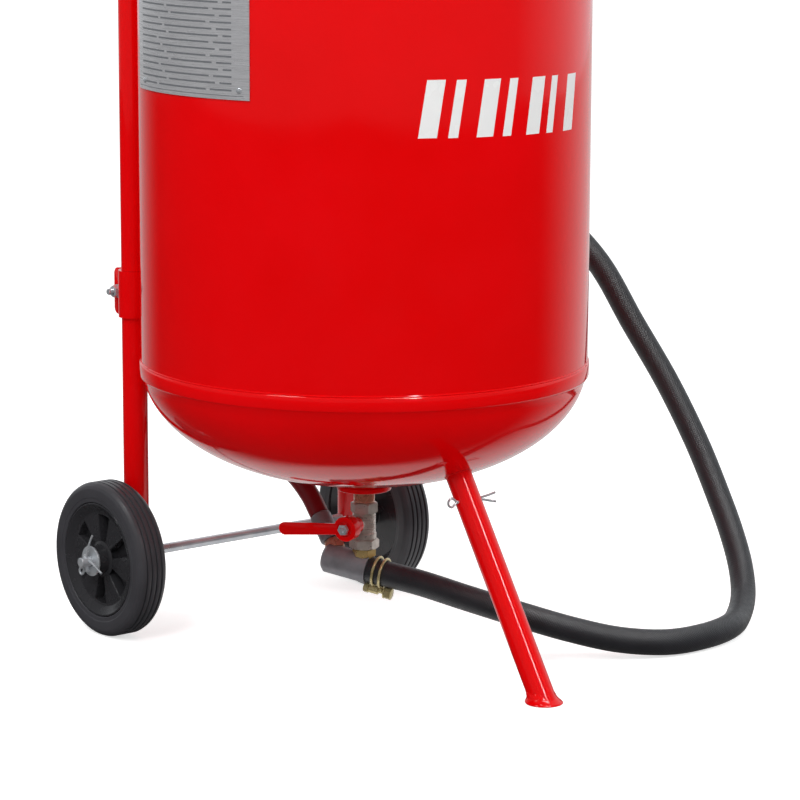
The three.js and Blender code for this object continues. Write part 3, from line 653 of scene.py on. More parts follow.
def nozzle():
    """The shut-off valve and ceramic nozzle on the hose's free end."""
    place = NOZZLE_TOP
    stem = (0, 0, -38)
    body = joined(
        ring(4, 13.5, -18, -GAP, 1.0), ring(4, 10, -58, -17, 0.8), nut(12, -58, -46, 4), nut(12, -20, -12, 4),
        aimed(ring(3.2, 6, 0, 19, 0.5, 32), stem, BACK),
    )
    lever = joined(
        toward(BACK, disc(8, 19 + GAP, 23, 0.6, 40), nut(4, 22.8, 25.2), place=stem),
        aimed(prism(rounded_plate(12, 76, 5.8), -1.3, 1.3), (0, 21.6, -1), BACK),
    )
    ribs = repeated(6, -85, 4, (11.2, 0.6), (11.9, 1.4), (11.9, 2.8), (11.2, 3.6))
    holder = lathe([(4, -86), (9, -86), *ribs, (12, -60), (12, -58 - GAP), (4, -58 - GAP)])
    tip = turned([(2.5, -118), (6.6, -118), (7.5, -86 - GAP), (4.5, -86 - GAP), (2.5, -98)], 0.7)
    return [
        piece("nozzle_valve_cast", body, "nickel", "nozzle_valve_body", place=place),
        piece("nozzle_valve_handle", lever, "red_paint", "nozzle_valve_lever", place=place),
        piece("nozzle_grip_nut", holder, "black_plastic", "nozzle_holder", place=place),
        piece("nozzle_tip", tip, "ceramic", "ceramic_nozzle", place=place),
    ]


def hose_clamp():
    """Two wire rings round the hose, drawn together by a screw block underneath."""
    side = UP.cross(CHAMBER_AXIS).normalized()
    below = -CHAMBER_AXIS.cross(side).normalized()
    wire = HOSE_RADIUS + 1.5
    centres = [CHAMBER_CENTRE + CHAMBER_AXIS * distance for distance in (13, 20)]
    rings = [tube(circle(centre, wire, side, below, 64), 1.25, 12, closed=True) for centre in centres]
    middle = CHAMBER_CENTRE + CHAMBER_AXIS * 16.5 + below * (HOSE_RADIUS + 5.6)
    screw = toward(
        CHAMBER_AXIS, disc(2.2, -12.5, 9, 0.4, 24), ring(2, 3.9, -8, 1, 0.5, 32), nut(4.2, -13, -8.5),
        nut(5.0, 8, 14), disc(5.6, 6.6, 8, 0.3, 32), place=middle,
    )
    seat = middle - below * 2.6
    seats = [aimed(block(5.5, 7.5, 3), seat + CHAMBER_AXIS * d, CHAMBER_AXIS) for d in (-3.5, 3.5)]
    return [piece("wire_clamp", joined(*rings, screw, *seats), "gold_zinc", "hose_clamp")]


# ---- tank ----


def head_height(radius, inset=0.0):
    """Height of the lower head's outer skin, or of a skin this far inside it."""
    share = min(1.0, radius / (TANK_RADIUS - inset))
    depth = HEAD_DEPTH - inset
    return HEAD_TANGENT - depth * (1 - share**HEAD_ROUNDNESS) ** (1 / HEAD_ROUNDNESS)


def head_outline(hole):
    """Half the section of a dished head whose rim laps over the shell."""
    steps = 40
    inner = TANK_RADIUS - TANK_WALL
    band_low = LOWER_SEAM - BAND_HEIGHT
    proud = TANK_RADIUS + BAND_PROUD
    outline = []
    for i in range(steps + 1):
        radius = hole + (TANK_RADIUS - hole) * sin(pi / 2 * i / steps)
        if head_height(radius) < band_low - 1.5:
            outline.append((radius, head_height(radius)))
    outline += [(TANK_RADIUS - 0.4, band_low - 1.2), (TANK_RADIUS + 0.1, band_low)]
    outline += [(proud - 0.35, band_low + 0.5), (proud, band_low + 1.4), (proud, LOWER_SEAM - 1.6)]
    outline += [(proud - 0.35, LOWER_SEAM - 0.6), (TANK_RADIUS + 0.2, LOWER_SEAM - 0.1), (inner, LOWER_SEAM)]
    for i in range(steps, -1, -1):
        radius = hole + (inner - hole) * sin(pi / 2 * i / steps)
        if head_height(radius, TANK_WALL) < LOWER_SEAM - 0.5:
            outline.append((radius, head_height(radius, TANK_WALL)))
    return outline


def tank():
    shell = ring(TANK_RADIUS - TANK_WALL, TANK_RADIUS, LOWER_SEAM, UPPER_SEAM, 0.3, 256)
    piece("shell_skin", shell, "red_paint", "tank_shell")
    piece("lower_head_skin", lathe(head_outline(10.5), 256), "red_paint", "bottom_head")
    upside_down = Matrix.Translation(vec(0, 0, 2 * MIDDLE_Z)) @ Matrix.Rotation(pi, 4, "X")
    piece("upper_head_skin", lathe(head_outline(34.3), 256), "red_paint", "top_head", matrix=upside_down)
    seams = [weld(level_circle(z, TANK_RADIUS, 240), 0.9) for z in (LOWER_SEAM + 0.5, UPPER_SEAM - 0.5)]
    piece("seam_beads", joined(*seams), "red_paint", body="frame")


def upper_head_height(radius):
    return 2 * MIDDLE_Z - head_height(radius)


def level_circle(z, radius, count):
    return circle(vec(0, 0, z), radius, RIGHT, BACK, count)


def weld(route, radius, ripple=0.0):
    """A bead of weld along a closed route, gently rippled."""
    sides = 10
    bead = tube(route, radius, sides, closed=True)
    for i, vert in enumerate(bead.verts):
        centre = route[i // sides]
        vert.co = centre + (vert.co - centre) * (1 + ripple * sin(1.9 * (i // sides)))
    return bead


def on_shell(azimuth, z, lift):
    """A point on the shell, at an azimuth in degrees, lifted off it."""
    turn = radians(azimuth)
    radius = TANK_RADIUS + lift
    return vec(radius * cos(turn), radius * sin(turn), z)


def curved_patch(corners, low_lift, high_lift, steps=14):
    """A four-cornered patch bent round the shell. Corners are (azimuth, z), lower two first."""
    shape = bmesh.new()
    start_low, end_low, end_high, start_high = (Vector(corner) for corner in corners)
    rows = []
    for i in range(steps + 1):
        below, above = start_low.lerp(end_low, i / steps), start_high.lerp(end_high, i / steps)
        section = (below, low_lift), (above, low_lift), (above, high_lift), (below, high_lift)
        rows.append([shape.verts.new(on_shell(*spot, lift)) for spot, lift in section])
    for row, after in zip(rows, rows[1:]):
        bridge(shape, row, after)
    for end in (rows[0], rows[-1]):
        shape.faces.new(end)
    return shape


def level_patch(start, end, low, high, low_lift, high_lift, steps):
    """A patch with upright ends and level edges."""
    corners = (start, low), (end, low), (end, high), (start, high)
    return curved_patch(corners, low_lift, high_lift, steps)


def marking():
    """Plain slanted bars of white paint on the front of the shell."""
    first, last, bars = -116.0, -63.5, 7
    pitch, lean = (last - first) / bars, 2.2
    shapes = []
    for i in range(bars):
        start = first + i * pitch
        end = start + pitch * (0.62 if i % 2 == 0 else 0.34)
        low, high = 483 - 0.4 * i, 531 - 0.4 * i
        corners = (start, low), (end, low), (end + lean, high), (start + lean, high)
        shapes.append(curved_patch(corners, 0.02, 0.14))
    piece("white_bars", joined(*shapes), "white_marking", body="frame")


def data_plate():
    """A blank plate, ruled where a maker would fill it in, with a rivet at each corner."""
    low, high = span("data_plate")
    start, end = 155.6, 202.9
    plate = level_patch(start, end, low.z, high.z, GAP, 1.2, 40)
    piece("blank_plate", plate, "plate", "data_plate")
    ink = (1.15, 1.24)
    lines = [level_patch(start + 1.6, end - 1.6, z, z + 0.6, *ink, 40) for z in (low.z + 3, high.z - 3.6)]
    for row in range(15):
        z = low.z + 7 + row * 5.6
        label, value = start + 14 + (row * 5) % 7, end - 13 + (row * 3) % 5
        for left, right in ((start + 4.2, label), (label + 1.2, value), (value + 1.4, end - 5)):
            lines.append(level_patch(left, right, z, z + 1.5, *ink, 10))
    piece("plate_rules", joined(*lines), "plate_print", body="frame")
    rivets = []
    for azimuth in (start + 5.8, end - 2.9):
        for z in (low.z + 8, high.z - 8):
            dome = lathe([(0, 1.9), (1.3, 1.7), (2.3, 1.0), (2.6, 0.2), (0, 0.2)], 24)
            rivets.append(aimed(dome, on_shell(azimuth, z, 1.0), on_shell(azimuth, 0, 0)))
    piece("plate_rivets", joined(*rivets), "zinc", body="frame")


def filler():
    """The neck on the upper head, its seal, and a cap with a bar across it."""
    rim = span("filler_neck")[1].z
    neck = turned([(29, 730), (34, 730), (34, rim - 4), (38, rim - 4), (38, rim), (29, rim)], 0.8, 96)
    bead = weld(level_circle(upper_head_height(35) + 0.5, 35, 90), 1.8, 0.12)
    piece("neck", joined(neck, bead), "red_paint", "filler_neck", sharp=40)
    seal = ring(30, 37, rim + GAP, rim + 3.3, 0.8, 96)
    piece("neck_seal", seal, "grip_rubber", "filler_seal")
    low = rim + 3.6
    cap = turned([
        (0, low), (38.5, low), (38.5, rim - 8), (42, rim - 8), (42, low + 6), (39, low + 8),
        (14, low + 8), (14, low + 16), (0, low + 16)], 1.2, 96, 4)
    bar = rod((-46, 0, low + 18), (46, 0, low + 18), 5, 2)
    lugs = studs(12, 41.57, low - 1, (2.96, 5.91, 11), 0.8)
    piece("cap_with_bar", joined(cap, bar, *lugs), "zinc", "filler_cap")


def studs(count, radius, z, size, edge):
    """Small blocks set evenly round the axis."""
    turns = [2 * pi * i / count for i in range(count)]
    return [aimed(block(*size, edge), (radius * cos(a), radius * sin(a), z), UP, a) for a in turns]


# ---- outlet, media valve and mixing chamber ----


def outlet():
    top = head_height(0) + 1
    outline = [
        (9.8, 145.3), (23.7, 145.3), (24.5, 146), (24.5, 149.4), (22, 150.4), (22, top), (9.8, top)]
    bead = weld(level_circle(head_height(22.5) - 0.4, 22.5, 80), 1.6, 0.12)
    piece("boss", joined(turned(outline, 0.5, 80), bead), "red_paint", "outlet_boss", sharp=40)
    thread = repeated(7, 135.2, 1, (9.1, 0), (9.6, 0.5))
    nipple = lathe([(6, 134), (9.5, 134), *thread, (9.5, 143), (9.5, 153), (6, 153)])
    piece("nipple", nipple, "copper", "outlet_nipple")


def media_valve():
    ribs = repeated(8, 106.4, 2.1, (9.9, 0), (10.5, 0.5), (10.5, 1.3), (9.9, 1.8))
    cast = lathe([
        (5, 100.3), (10.9, 100.3), (11.1, 101), (11.1, 105.4), (10.2, 106), *ribs,
        (9.9, 123.4), (10.4, 124), (5, 124)], 72)
    collar = nut(10.9, 124, 133.7, 5, turn=radians(8))
    boss = aimed(ring(3.3, 6.3, 0, 13, 0.5, 40), VALVE_CENTRE, STEM_WAY)
    piece("valve_cast", joined(cast, collar, boss), "nickel", "media_valve_body")
    ball = lathe([(0, -6.7), *arc(6.7, -88, 88, 24), (0, 6.7)], 48)
    piece("valve_ball", ball, "zinc", "media_valve_ball", place=VALVE_CENTRE, direction=STEM_WAY)
    stem = rod(VALVE_CENTRE + STEM_WAY * 4.8, VALVE_CENTRE + STEM_WAY * 34, 2.9)
    piece("valve_stem", stem, "zinc", "media_valve_stem")
    media_lever()
    union = joined(nut(11.8, 91, 100, 5, turn=radians(22)), ring(5, 10.6, 99.6, 101, 0.3))
    piece("union", union, "nickel", "union_nut")


def media_lever():
    """The lever, drooping a little, with its own +X along the blade and +Z along the stem."""
    across = vec(STEM_WAY.y, -STEM_WAY.x, 0)
    way = across * cos(LEVER_DROOP) - UP * sin(LEVER_DROOP)
    turn = Matrix((way, STEM_WAY.cross(way), STEM_WAY)).transposed().to_4x4()
    matrix = Matrix.Translation(VALVE_CENTRE) @ turn
    blade = prism(arc(5.75, -90, 90, 12, (65, 0)) + [(6, 5.2), (6, -5.2)], 31.2, 33.9, 0.7, 3)
    step = aimed(prism(rounded_plate(26, 8.2, 2), 33.4, 34.6), (20, 0, 0))
    hub = turned([
        (3.2, 19.4), (7.4, 19.4), (7.4, 22.5), (11.3, 23.5), (11.3, 34.2), (7, 34.2),
        (6.4, 33.2), (3.2, 33.2)], 0.8)
    sleeve = ring(6.4, 7.4, 12.5, 20, 0.4, 48)
    piece("valve_handle", joined(blade, step, hub, sleeve), "red_paint", "media_valve_lever", matrix=matrix)
    lever_nut = joined(nut(4.4, 34.3, 38.2), threaded(2.6, 34, 40, 1.25, 0.6))
    piece("handle_nut", lever_nut, "zinc", "media_lever_nut", matrix=matrix)


def mixing_chamber():
    back, front = -39, 5
    chamber = turned([
        (0, back), (CHAMBER_RADIUS - 2.6, back), (CHAMBER_RADIUS, back + 2.8), (CHAMBER_RADIUS, front),
        (CHAMBER_RADIUS - 1.2, front + 0.2), (12.1, front - 1.5), (0, front - 1.5)], 0.35, 96)
    piece("chamber", chamber, "bare_steel", "mixing_chamber", place=CHAMBER_CENTRE, direction=CHAMBER_AXIS)
    foot = nut(9.3, 83.5, 90.7, 5.2, turn=radians(10))
    collar = turned([(5.2, 80), (7.4, 80), (9, 84), (9, 86), (5.2, 86)], 0.4)
    piece("chamber_foot", joined(foot, collar), "brass", "chamber_nipple")
    inlet = CHAMBER_CENTRE - CHAMBER_AXIS * 22.6
    inlet_nut = joined(nut(8.2, 12, 20, 4), ring(4, 7, 8, 13), ring(4, 7.4, 19.5, 22.8))
    piece("inlet_nut", inlet_nut, "copper", "air_inlet_nut", place=inlet, direction=AIR_HOSE_AXIS)
    ferrule = turned([
        (0, 23.3), (9.2, 23.3), (9.8, 24.5), (9.8, 30), (9.3, 31), (9.8, 32), (9.8, 38), (9.3, 39), (9.8, 40),
        (9.8, 48.5), (9.2, 50), (0, 50)], 0.5)
    piece("ferrule", ferrule, "bare_steel", "air_hose_ferrule", place=inlet, direction=AIR_HOSE_AXIS)


# ---- running gear and leg ----


def tyre_outline():
    """The tyre's section, its outer face at +z: bead, stepped wall and grooved tread."""
    half = WHEEL_WIDTH / 2
    outer = WHEEL_RADIUS
    wall = [(RIM_RADIUS, half - 5), (RIM_RADIUS, half - 1.4), (RIM_RADIUS + 0.6, half - 0.5)]
    wall += [(RIM_RADIUS + 4, half - 0.5), (RIM_RADIUS + 4.6, half)]
    wall += [(outer - 6, half), (outer - 3.2, half - 1.1), (outer - 1, half - 3.4)]
    tread = [(outer, half - 6)]
    for z in (8.0, 2.7, -2.7, -8.0):
        tread += [(outer, z + 1), (outer - 0.6, z + 0.8), (outer - 1.8, z + 0.4)]
        tread += [(outer - 1.8, z - 0.4), (outer - 0.6, z - 0.8), (outer, z - 1)]
    tread += [(outer, 6 - half)]
    return wall + tread + [(r, -z) for r, z in reversed(wall)]


def wheel(side, sign):
    place = (sign * WHEEL_MIDDLE_X, UPRIGHT_Y, WHEEL_RADIUS)
    out = RIGHT * sign
    tyre = turned(tyre_outline(), 0.35, 160, 2)
    piece(side + "_tyre_solid", tyre, "tyre_rubber", side + "_tyre", place=place, direction=out)
    aim = placing(place, out) @ Matrix.Rotation(pi / 2, 4, "Z")
    piece(side + "_hub_moulding", wheel_hub(), "black_plastic", side + "_wheel_hub", matrix=aim)
    face = WHEEL_WIDTH / 2 + HUB_PROUD + GAP
    washer = ring(AXLE_RADIUS + GAP, WASHER_RADIUS, face, face + 2, 0.5)
    piece(side + "_plain_washer", washer, "zinc", side + "_washer", place=place, direction=out)
    split_pin(side, sign, Vector(place) + out * (face + SPLIT_PIN_OUT))


def wheel_hub():
    """A dished moulding with blind pockets between its spokes."""
    half = WHEEL_WIDTH / 2
    plate = half - DISH_DEPTH
    deep = plate - 10
    bore, boss = AXLE_RADIUS + 0.6, half + HUB_PROUD
    rim = RIM_RADIUS - GAP
    dish = turned([
        (bore, -half), (12, -half), (13, deep - 2), (44, deep - 2), (rim, 3 - half), (rim, half - 1),
        (rim - 1.5, half - 0.6), (46.5, plate + 2), (43.5, plate), (41.5, plate), (41.5, deep), (13.5, deep),
        (13, boss), (bore, boss)], 0.8, 128, 4)
    spokes = []
    for i in range(SPOKES):
        middle = 360 * i / SPOKES + 55
        edge = arc(42, middle - 17.4, middle + 17.4, 8) + arc(12, middle + 16, middle - 16, 4)
        spokes.append(prism(edge, deep - 0.2, plate, 0.7, 3))
    collar = turned([
        (12.6, plate - 1), (16.8, plate - 1), (16.8, plate), (14, plate + 1.2), (12.6, plate + 1.2)], 0.4, 80)
    return joined(dish, collar, *spokes)


def wires(centre, radius, *routes):
    """Round wires along smooth routes given from a centre."""
    return [tube(smooth_route([centre + Vector(p) for p in route], 0.8), radius, 10) for route in routes]


def split_pin(side, sign, centre):
    """A split pin through the axle, its eye on one side and its two legs bent apart."""
    eye = [
        (0, -1, 7), (0, 1.6, -3), (0, 4.2, -6.2), (0, 8.4, -6.8), (0, 10.4, -10), (0, 8, -13),
        (0, 4.6, -11.6), (0, 3.4, -8), (0.6, 0, 1)]
    up_leg = [(0, 0, 4), (0, -2, 10), (-sign * 0.4, -5.4, 18), (-sign * 0.6, -10, 26)]
    low_leg = [(0.4, 0, 2), (0.4, -5, 1.6), (sign * 0.8, -15, -1), (sign * 0.8, -26, -6)]
    shank = rod(centre + vec(0, -2, -9), centre + vec(0, 1.6, 7), 1.7)
    shape = joined(*wires(centre, 1.15, eye), shank, *wires(centre, 1.1, up_leg, low_leg))
    piece(side + "_bent_pin", shape, "zinc", side + "_split_pin", sharp=60)


def running_gear():
    low, high = span("axle")
    collars = [ring(4.4, 8.5, x - 0.8, x + 0.8, 0.3) for x in (-138.6, 138.6)]
    axle = joined(disc(AXLE_RADIUS, low.x, high.x, 0.8, 48), *collars)
    piece("axle_rod", axle, "zinc", "axle", place=(0, UPRIGHT_Y, WHEEL_RADIUS), direction=RIGHT)
    wheel("left", -1)
    wheel("right", 1)


def front_leg():
    """A tube cut level at the floor, with a flared foot that leans as the tube does."""
    way = (LEG_TOP - FOOT).normalized()
    cut, sides, length = 0.8, 48, 226
    leg = tube([FOOT + way * distance for distance in (0, 12, 60, 120, 180, length)], TUBE_RADIUS, sides)
    leg.verts.ensure_lookup_table()
    for vert in leg.verts[:sides]:
        vert.co -= way * ((vert.co.z - cut) / way.z)
    flare = turned([
        (0, 0), (FOOT_RADIUS, 0), (FOOT_RADIUS, 1.3), (15.2, 2.2), (13.3, 4.6), (12.4, 9), (0, 9)], 0.6, 80)
    for vert in flare.verts:
        vert.co.xy += way.xy * (vert.co.z / way.z)
    piece("leg_tube", joined(leg, aimed(flare, FOOT)), "red_paint", "front_leg", "leg_stub")
    piece("leg_weld", weld(leg_meets_head(way), 1.0, 0.2), "red_paint", body="frame")
    leg_pin(FOOT + way * (LEG_PIN_Z / way.z))


def leg_meets_head(way):
    """Where the leg's wall runs into the lower head."""
    route = []
    for start in circle(FOOT, TUBE_RADIUS, RIGHT, way.cross(RIGHT), 72):
        near, far = 150.0, 260.0
        for _ in range(30):
            middle = (near + far) / 2
            point = start + way * middle
            inside = point.z > head_height(hypot(point.x, point.y))
            near, far = (near, middle) if inside else (middle, far)
        route.append(start + way * near)
    return route


def leg_pin(centre):
    """The pin that holds the leg on its stub: an eye to the left, two ends sprung apart to the right."""
    eye = [
        (-12.5, 0, 0), (-15, 0.5, 2), (-18, 1, 4), (-21, 1.5, 1.5), (-21, 1.5, -1.8), (-18, 1, -4),
        (-15, 0.5, -2), (-12.5, 0, -0.4)]
    up_end = [(11, 0, 0.6), (17, -0.5, 1.2), (24, -1.4, 2.4), (29, -2, 3.6)]
    low_end = [(11, 0, -0.6), (17, -0.5, -1.4), (24, -1.4, -3.2), (30, -2, -4.6)]
    shank = rod(centre - RIGHT * 13, centre + RIGHT * 13, 1.5)
    shape = joined(shank, *wires(centre, 1.05, eye, up_end, low_end))
    piece("leg_split_pin", shape, "zinc", "leg_pin", sharp=60)


# ---- uprights, clamps and handle ----


def uprights():
    for side, sign in (("left", -1), ("right", 1)):
        low, high = span(side + "_upright")
        wall = ring(9.5, TUBE_RADIUS, low.z, high.z, 0.5)
        plug = disc(9.4, low.z - 0.1, low.z + 4, 0.6)
        place = (sign * UPRIGHT_X, UPRIGHT_Y, 0)
        piece(side + "_tube", joined(wall, plug), "red_paint", side + "_upright", place=place)
        clamp(side, sign)


def clamp(side, sign):
    """A bracket welded to the shell, with an outer strap bolted to it round the upright."""
    low, high = span(side + "_clamp_strap")
    height, middle = high.z - low.z, (low.z + high.z) / 2
    bore, thick = TUBE_RADIUS + GAP, 2.5
    x = sign * UPRIGHT_X
    tab_length = high.y - UPRIGHT_Y - bore + 1

    def half_sleeve(outward):
        start = -90 if outward * sign > 0 else 90
        outline = arc(bore + thick, start, start + 180, 32) + arc(bore, start + 180, start, 32)
        plate = prism(rounded_plate(height, tab_length, 5), -thick / 2, thick / 2)
        tab_place = (x + sign * outward * (GAP + thick) / 2, high.y - tab_length / 2, middle)
        sleeve = aimed(prism(outline, low.z, high.z, 0.6), (x, UPRIGHT_Y, 0))
        return joined(sleeve, aimed(plate, tab_place, RIGHT))

    piece(side + "_strap", half_sleeve(1), "red_paint", side + "_clamp_strap")
    web = aimed(block(thick, 40, height, 0.5), (x - sign * (bore + thick / 2 - 1), UPRIGHT_Y - 20, middle))
    piece(side + "_bracket", joined(half_sleeve(-1), web), "red_paint", side + "_clamp_base")

    bolt_low, bolt_high = span(side + "_clamp_bolt")
    face = thick + GAP / 2 + GAP
    bolt = joined(
        nut(4.9, -face - 4.5, -face), disc(3, -face, face, 0), ring(2.5, 6.2, face, face + 1.4, 0.3, 40),
        nut(4.9, face + 1.3, face + 6.4), threaded(3, face, 14.5, 1.0, 0.45),
    )
    place = (x, (bolt_low.y + bolt_high.y) / 2, middle)
    piece(side + "_bolt_set", bolt, "zinc", side + "_clamp_bolt", place=place, direction=RIGHT * sign)


def handle():
    """A bow of tube on the uprights, with a ribbed grip on its bar."""
    side, foot = -UPRIGHT_X, span("handle_bow")[0].z
    half = [
        (side, UPRIGHT_Y, foot), (side, UPRIGHT_Y, 780), (side, UPRIGHT_Y, 835), (side, 181, 850),
        (side, 189, 872), (side, 218, 927), (side + 3, 235, 954), (side + 18, 246, BAR_Z - 3),
        (side + 38, HANDLE_Y, BAR_Z), (-40, HANDLE_Y, BAR_Z),
    ]
    route = half + [(0, HANDLE_Y, BAR_Z)] + [(-x, y, z) for x, y, z in reversed(half)]
    piece("bow_tube", tube(smooth_route(route), TUBE_RADIUS, 40), "red_paint", "handle_bow", sharp=60)
    inner, end, groove = TUBE_RADIUS + 0.2, GRIP_HIGH.x, GRIP_RADIUS - 1.1
    edge = GRIP_RADIUS - 0.2
    ribs = repeated(22, 7.5 - end, 6, (edge, -1.6), (groove, -1), (groove, 1), (edge, 1.6))
    grip = turned([
        (inner, -end), (GRIP_RADIUS, -end), (GRIP_RADIUS, 4 - end), *ribs,
        (GRIP_RADIUS, end - 4), (GRIP_RADIUS, end), (inner, end)], 0.7, 72)
    piece("ribbed_grip", grip, "grip_rubber", "handle_grip", place=(0, HANDLE_Y, BAR_Z), direction=RIGHT)
    hose_peg()


def hose_peg():
    """The peg behind the right upright that carries the coiled hose."""
    peg_z = span("hose_hook")[0].z + 4
    peg = [(TUBE_RADIUS - 1, 0), (40, 0), (66, 0), (76, 5), (78.8, 22)]
    route = smooth_route([vec(UPRIGHT_X, UPRIGHT_Y + back, peg_z + up) for back, up in peg], 1.5)
    knob = aimed(lathe(arc(4.3, -90, 90, 12), 32), route[-1] - UP)
    piece("peg", joined(tube(route, 3.9, 24), knob), "zinc", "hose_hook", sharp=60)


# ---- air inlet group ----


def air_inlet():
    """The cross on its riser, which carries the gauge, safety valve, separator and air hose."""
    foot = upper_head_height(hypot(MANIFOLD.x, MANIFOLD.y)) - MANIFOLD.z + 6
    cross = joined(
        block(26, 26, 26, 1.6), disc(8.5, foot, 0), nut(13, foot + 2, foot + 10),
        disc(14.5, foot - 3, foot + 2.4, 1.0), disc(7, 0, 20), toward(RIGHT, disc(8.5, -18, 18)),
        toward(BACK, disc(10.5, 0, 30), nut(10.8, 14, 24)),
    )
    piece("cross_fitting", cross, "brass", "inlet_manifold", place=MANIFOLD)
    gauge()
    safety = turned([
        (0, 18.3), (9, 18.3), (9, 27), (7, 28), (7, 33), (6.2, 33.8), (7, 34.6), (7, 44), (3, 46),
        (3, 48), (0, 48)], 0.4)
    safety = joined(safety, nut(8.4, 19, 26))
    piece("relief_valve", safety, "brass", "safety_valve", place=MANIFOLD, direction=RIGHT)
    loop = tube(circle(vec(60.5, 0, 0), 8, RIGHT, UP, 48), 1.2, 12, closed=True)
    pull = joined(loop, rod((48.3, 0, 0), (53.2, 0, 0), 2.4))
    piece("pull_loop", pull, "zinc", "safety_pull_ring", place=MANIFOLD)
    separator()
    inlet_valve()


def gauge():
    """Each part about the gauge's own axis, with +Z out of its dial and +Y up."""
    rise = 48
    centre = MANIFOLD + UP * rise
    case = turned([
        (0, -12), (24, -12), (26, -10), (26.5, 5), (27, 6), (27, 9), (24.5, 9), (24.2, 3), (0, 3)], 0.6, 96)
    neck = toward(BACK, nut(6.5, 20.3, 25), disc(5, 20.3, 27), place=(0, -rise, 0))
    piece("gauge_case", joined(case, neck), "black_plastic", "pressure_gauge", place=centre, direction=FRONT)
    dial = disc(24, 3.02, 3.25, 0.05, 96)
    piece("gauge_dial", dial, "white_marking", body="frame", place=centre, direction=FRONT)
    marks = []
    for i in range(41):
        angle = radians(225 - 270 * i / 40)
        length, width = (3.6, 0.9) if i % 4 == 0 else (2, 0.45)
        middle = 22 - length / 2
        tick = block(length, width, 0.12, 0.04)
        marks.append(aimed(tick, (middle * cos(angle), middle * sin(angle), 3.3), UP, angle))
    upright = placing(centre, FRONT)
    piece("gauge_marks", joined(*marks), "black_plastic", body="frame", matrix=upright)
    glass = turned([(0, 6.6), (24.4, 6.6), (24.4, 7.6), (0, 7.8)], 0.2, 96, 2)
    piece("gauge_glass", glass, "clear_plastic", body="frame", place=centre, direction=FRONT)
    hand = prism([(-6, 0.9), (-6, -0.9), (0, -1.2), (18, -0.25), (18, 0.25), (0, 1.2)], 3.75, 4.3, 0.1, 1)
    hand = joined(hand, disc(2.8, 3.5, 5.2, 0.3, 32))
    rest = upright @ Matrix.Rotation(radians(225), 4, "Z")
    piece("gauge_hand", hand, "black_plastic", "gauge_needle", matrix=rest)


def separator():
    """The water separator's head, its clear bowl and the drain under it."""
    place = MANIFOLD + SEPARATOR_X * RIGHT
    head = joined(
        turned([(0, -16.7), (20, -16.7), (20, 12), (17, 15), (0, 15)], 1.2, 72, 4),
        *studs(16, 20, -5, (2, 3, 14), 0.6),
        toward(RIGHT, disc(9, -24, 23.7, 0.6), nut(10, 12, 20), nut(10, -23.6, -14)),
    )
    piece("separator_cap", head, "zinc", "separator_head", place=place)
    bowl = turned([
        (0, -79), (5, -80), (14, -77), (18, -70), (18, -17), (15.6, -17), (15.6, -68), (12.5, -73.5),
        (0, -75)], 1.2, 72, 4)
    piece("clear_bowl", bowl, "clear_plastic", "separator_bowl", place=place)
    drain = turned([(0, -86), (4, -86), (5, -85), (5, -79.4), (0, -79.4)], 0.5)
    drain = joined(drain, nut(6, -82.5, -79.6))
    piece("bowl_drain", drain, "brass", body="frame", place=place)


def inlet_valve():
    """The valve at the air's way in, with its lever and the plug of a hose coupling."""
    stem = MANIFOLD + INLET_STEM_X * RIGHT
    coupling = turned([
        (3, 104), (7.5, 104), (7.5, 112), (5.2, 113), (5.2, 119), (4.2, 120), (4.2, 124), (5.5, 125.5),
        (5.5, 128), (4.4, 130), (3, 130)], 0.4)
    barrel = turned([
        (0, 66.3), (10, 66.3), (10.6, 72), (12.4, 78), (12.4, 90), (10.6, 96), (10, 104), (0, 104)],
        1.5, steps=4)
    body = joined(
        toward(LEFT, barrel, coupling, nut(11.5, 94, 104), nut(11.3, 66.6, 74)),
        aimed(disc(6, 0, 15), (INLET_STEM_X, 0, 0)),
    )
    piece("inlet_cast", body, "nickel", "inlet_valve_body", place=MANIFOLD)
    arm = prism(arc(6, 0, -180, 12, (0, -56)) + [(-6.6, -4), (6.6, -4)], 16.3, 18.9, 0.7, 3)
    lever = joined(disc(8, 15.3, 19, 0.6, 40), arm)
    piece("inlet_handle", lever, "red_paint", "inlet_valve_lever", place=stem)
    piece("inlet_handle_nut", nut(4.2, 19.1, 22.4), "zinc", body="inlet_lever", place=stem)


# ---- studio ----

# The way to the studio's bright side, behind the object and to its right
BEHIND = (0.802, 0.597, 0)


def by_ray(nodes, soft, mirrored, seen, output):
    """Soft light meets the first shader, a reflection the second and the eye the third."""
    chosen = soft
    for ray, shader in (("Is Glossy Ray", mirrored), ("Is Camera Ray", seen)):
        of_this_kind = nodes.node("LightPath", out=ray)
        chosen = nodes.node("MixShader", {"Fac": of_this_kind, 1: chosen, 2: shader})
    nodes.feed(nodes.tree.nodes[output].inputs["Surface"], chosen)


def mirrored_floor(nodes):
    """What a reflection sees of the floor: bright behind the object and to its right, dark in front."""
    place = nodes.node("TexCoord", out="Object")
    along = nodes.node("VectorMath", {0: place, 1: BEHIND}, "Value", operation="DOT_PRODUCT")
    distance = nodes.node("VectorMath", {0: place}, "Value", operation="LENGTH")
    shifted = nodes.node("Math", {0: along, 1: 0.12})
    share = nodes.node("Math", {0: shifted, 1: distance}, operation="DIVIDE")
    ends = {"From Min": 0.35, "From Max": 1.1, "To Min": 0.03, "To Max": 0.75}
    level = nodes.node("MapRange", {"Value": share, **ends}, interpolation_type="SMOOTHSTEP")
    return nodes.node("Emission", {"Strength": level})


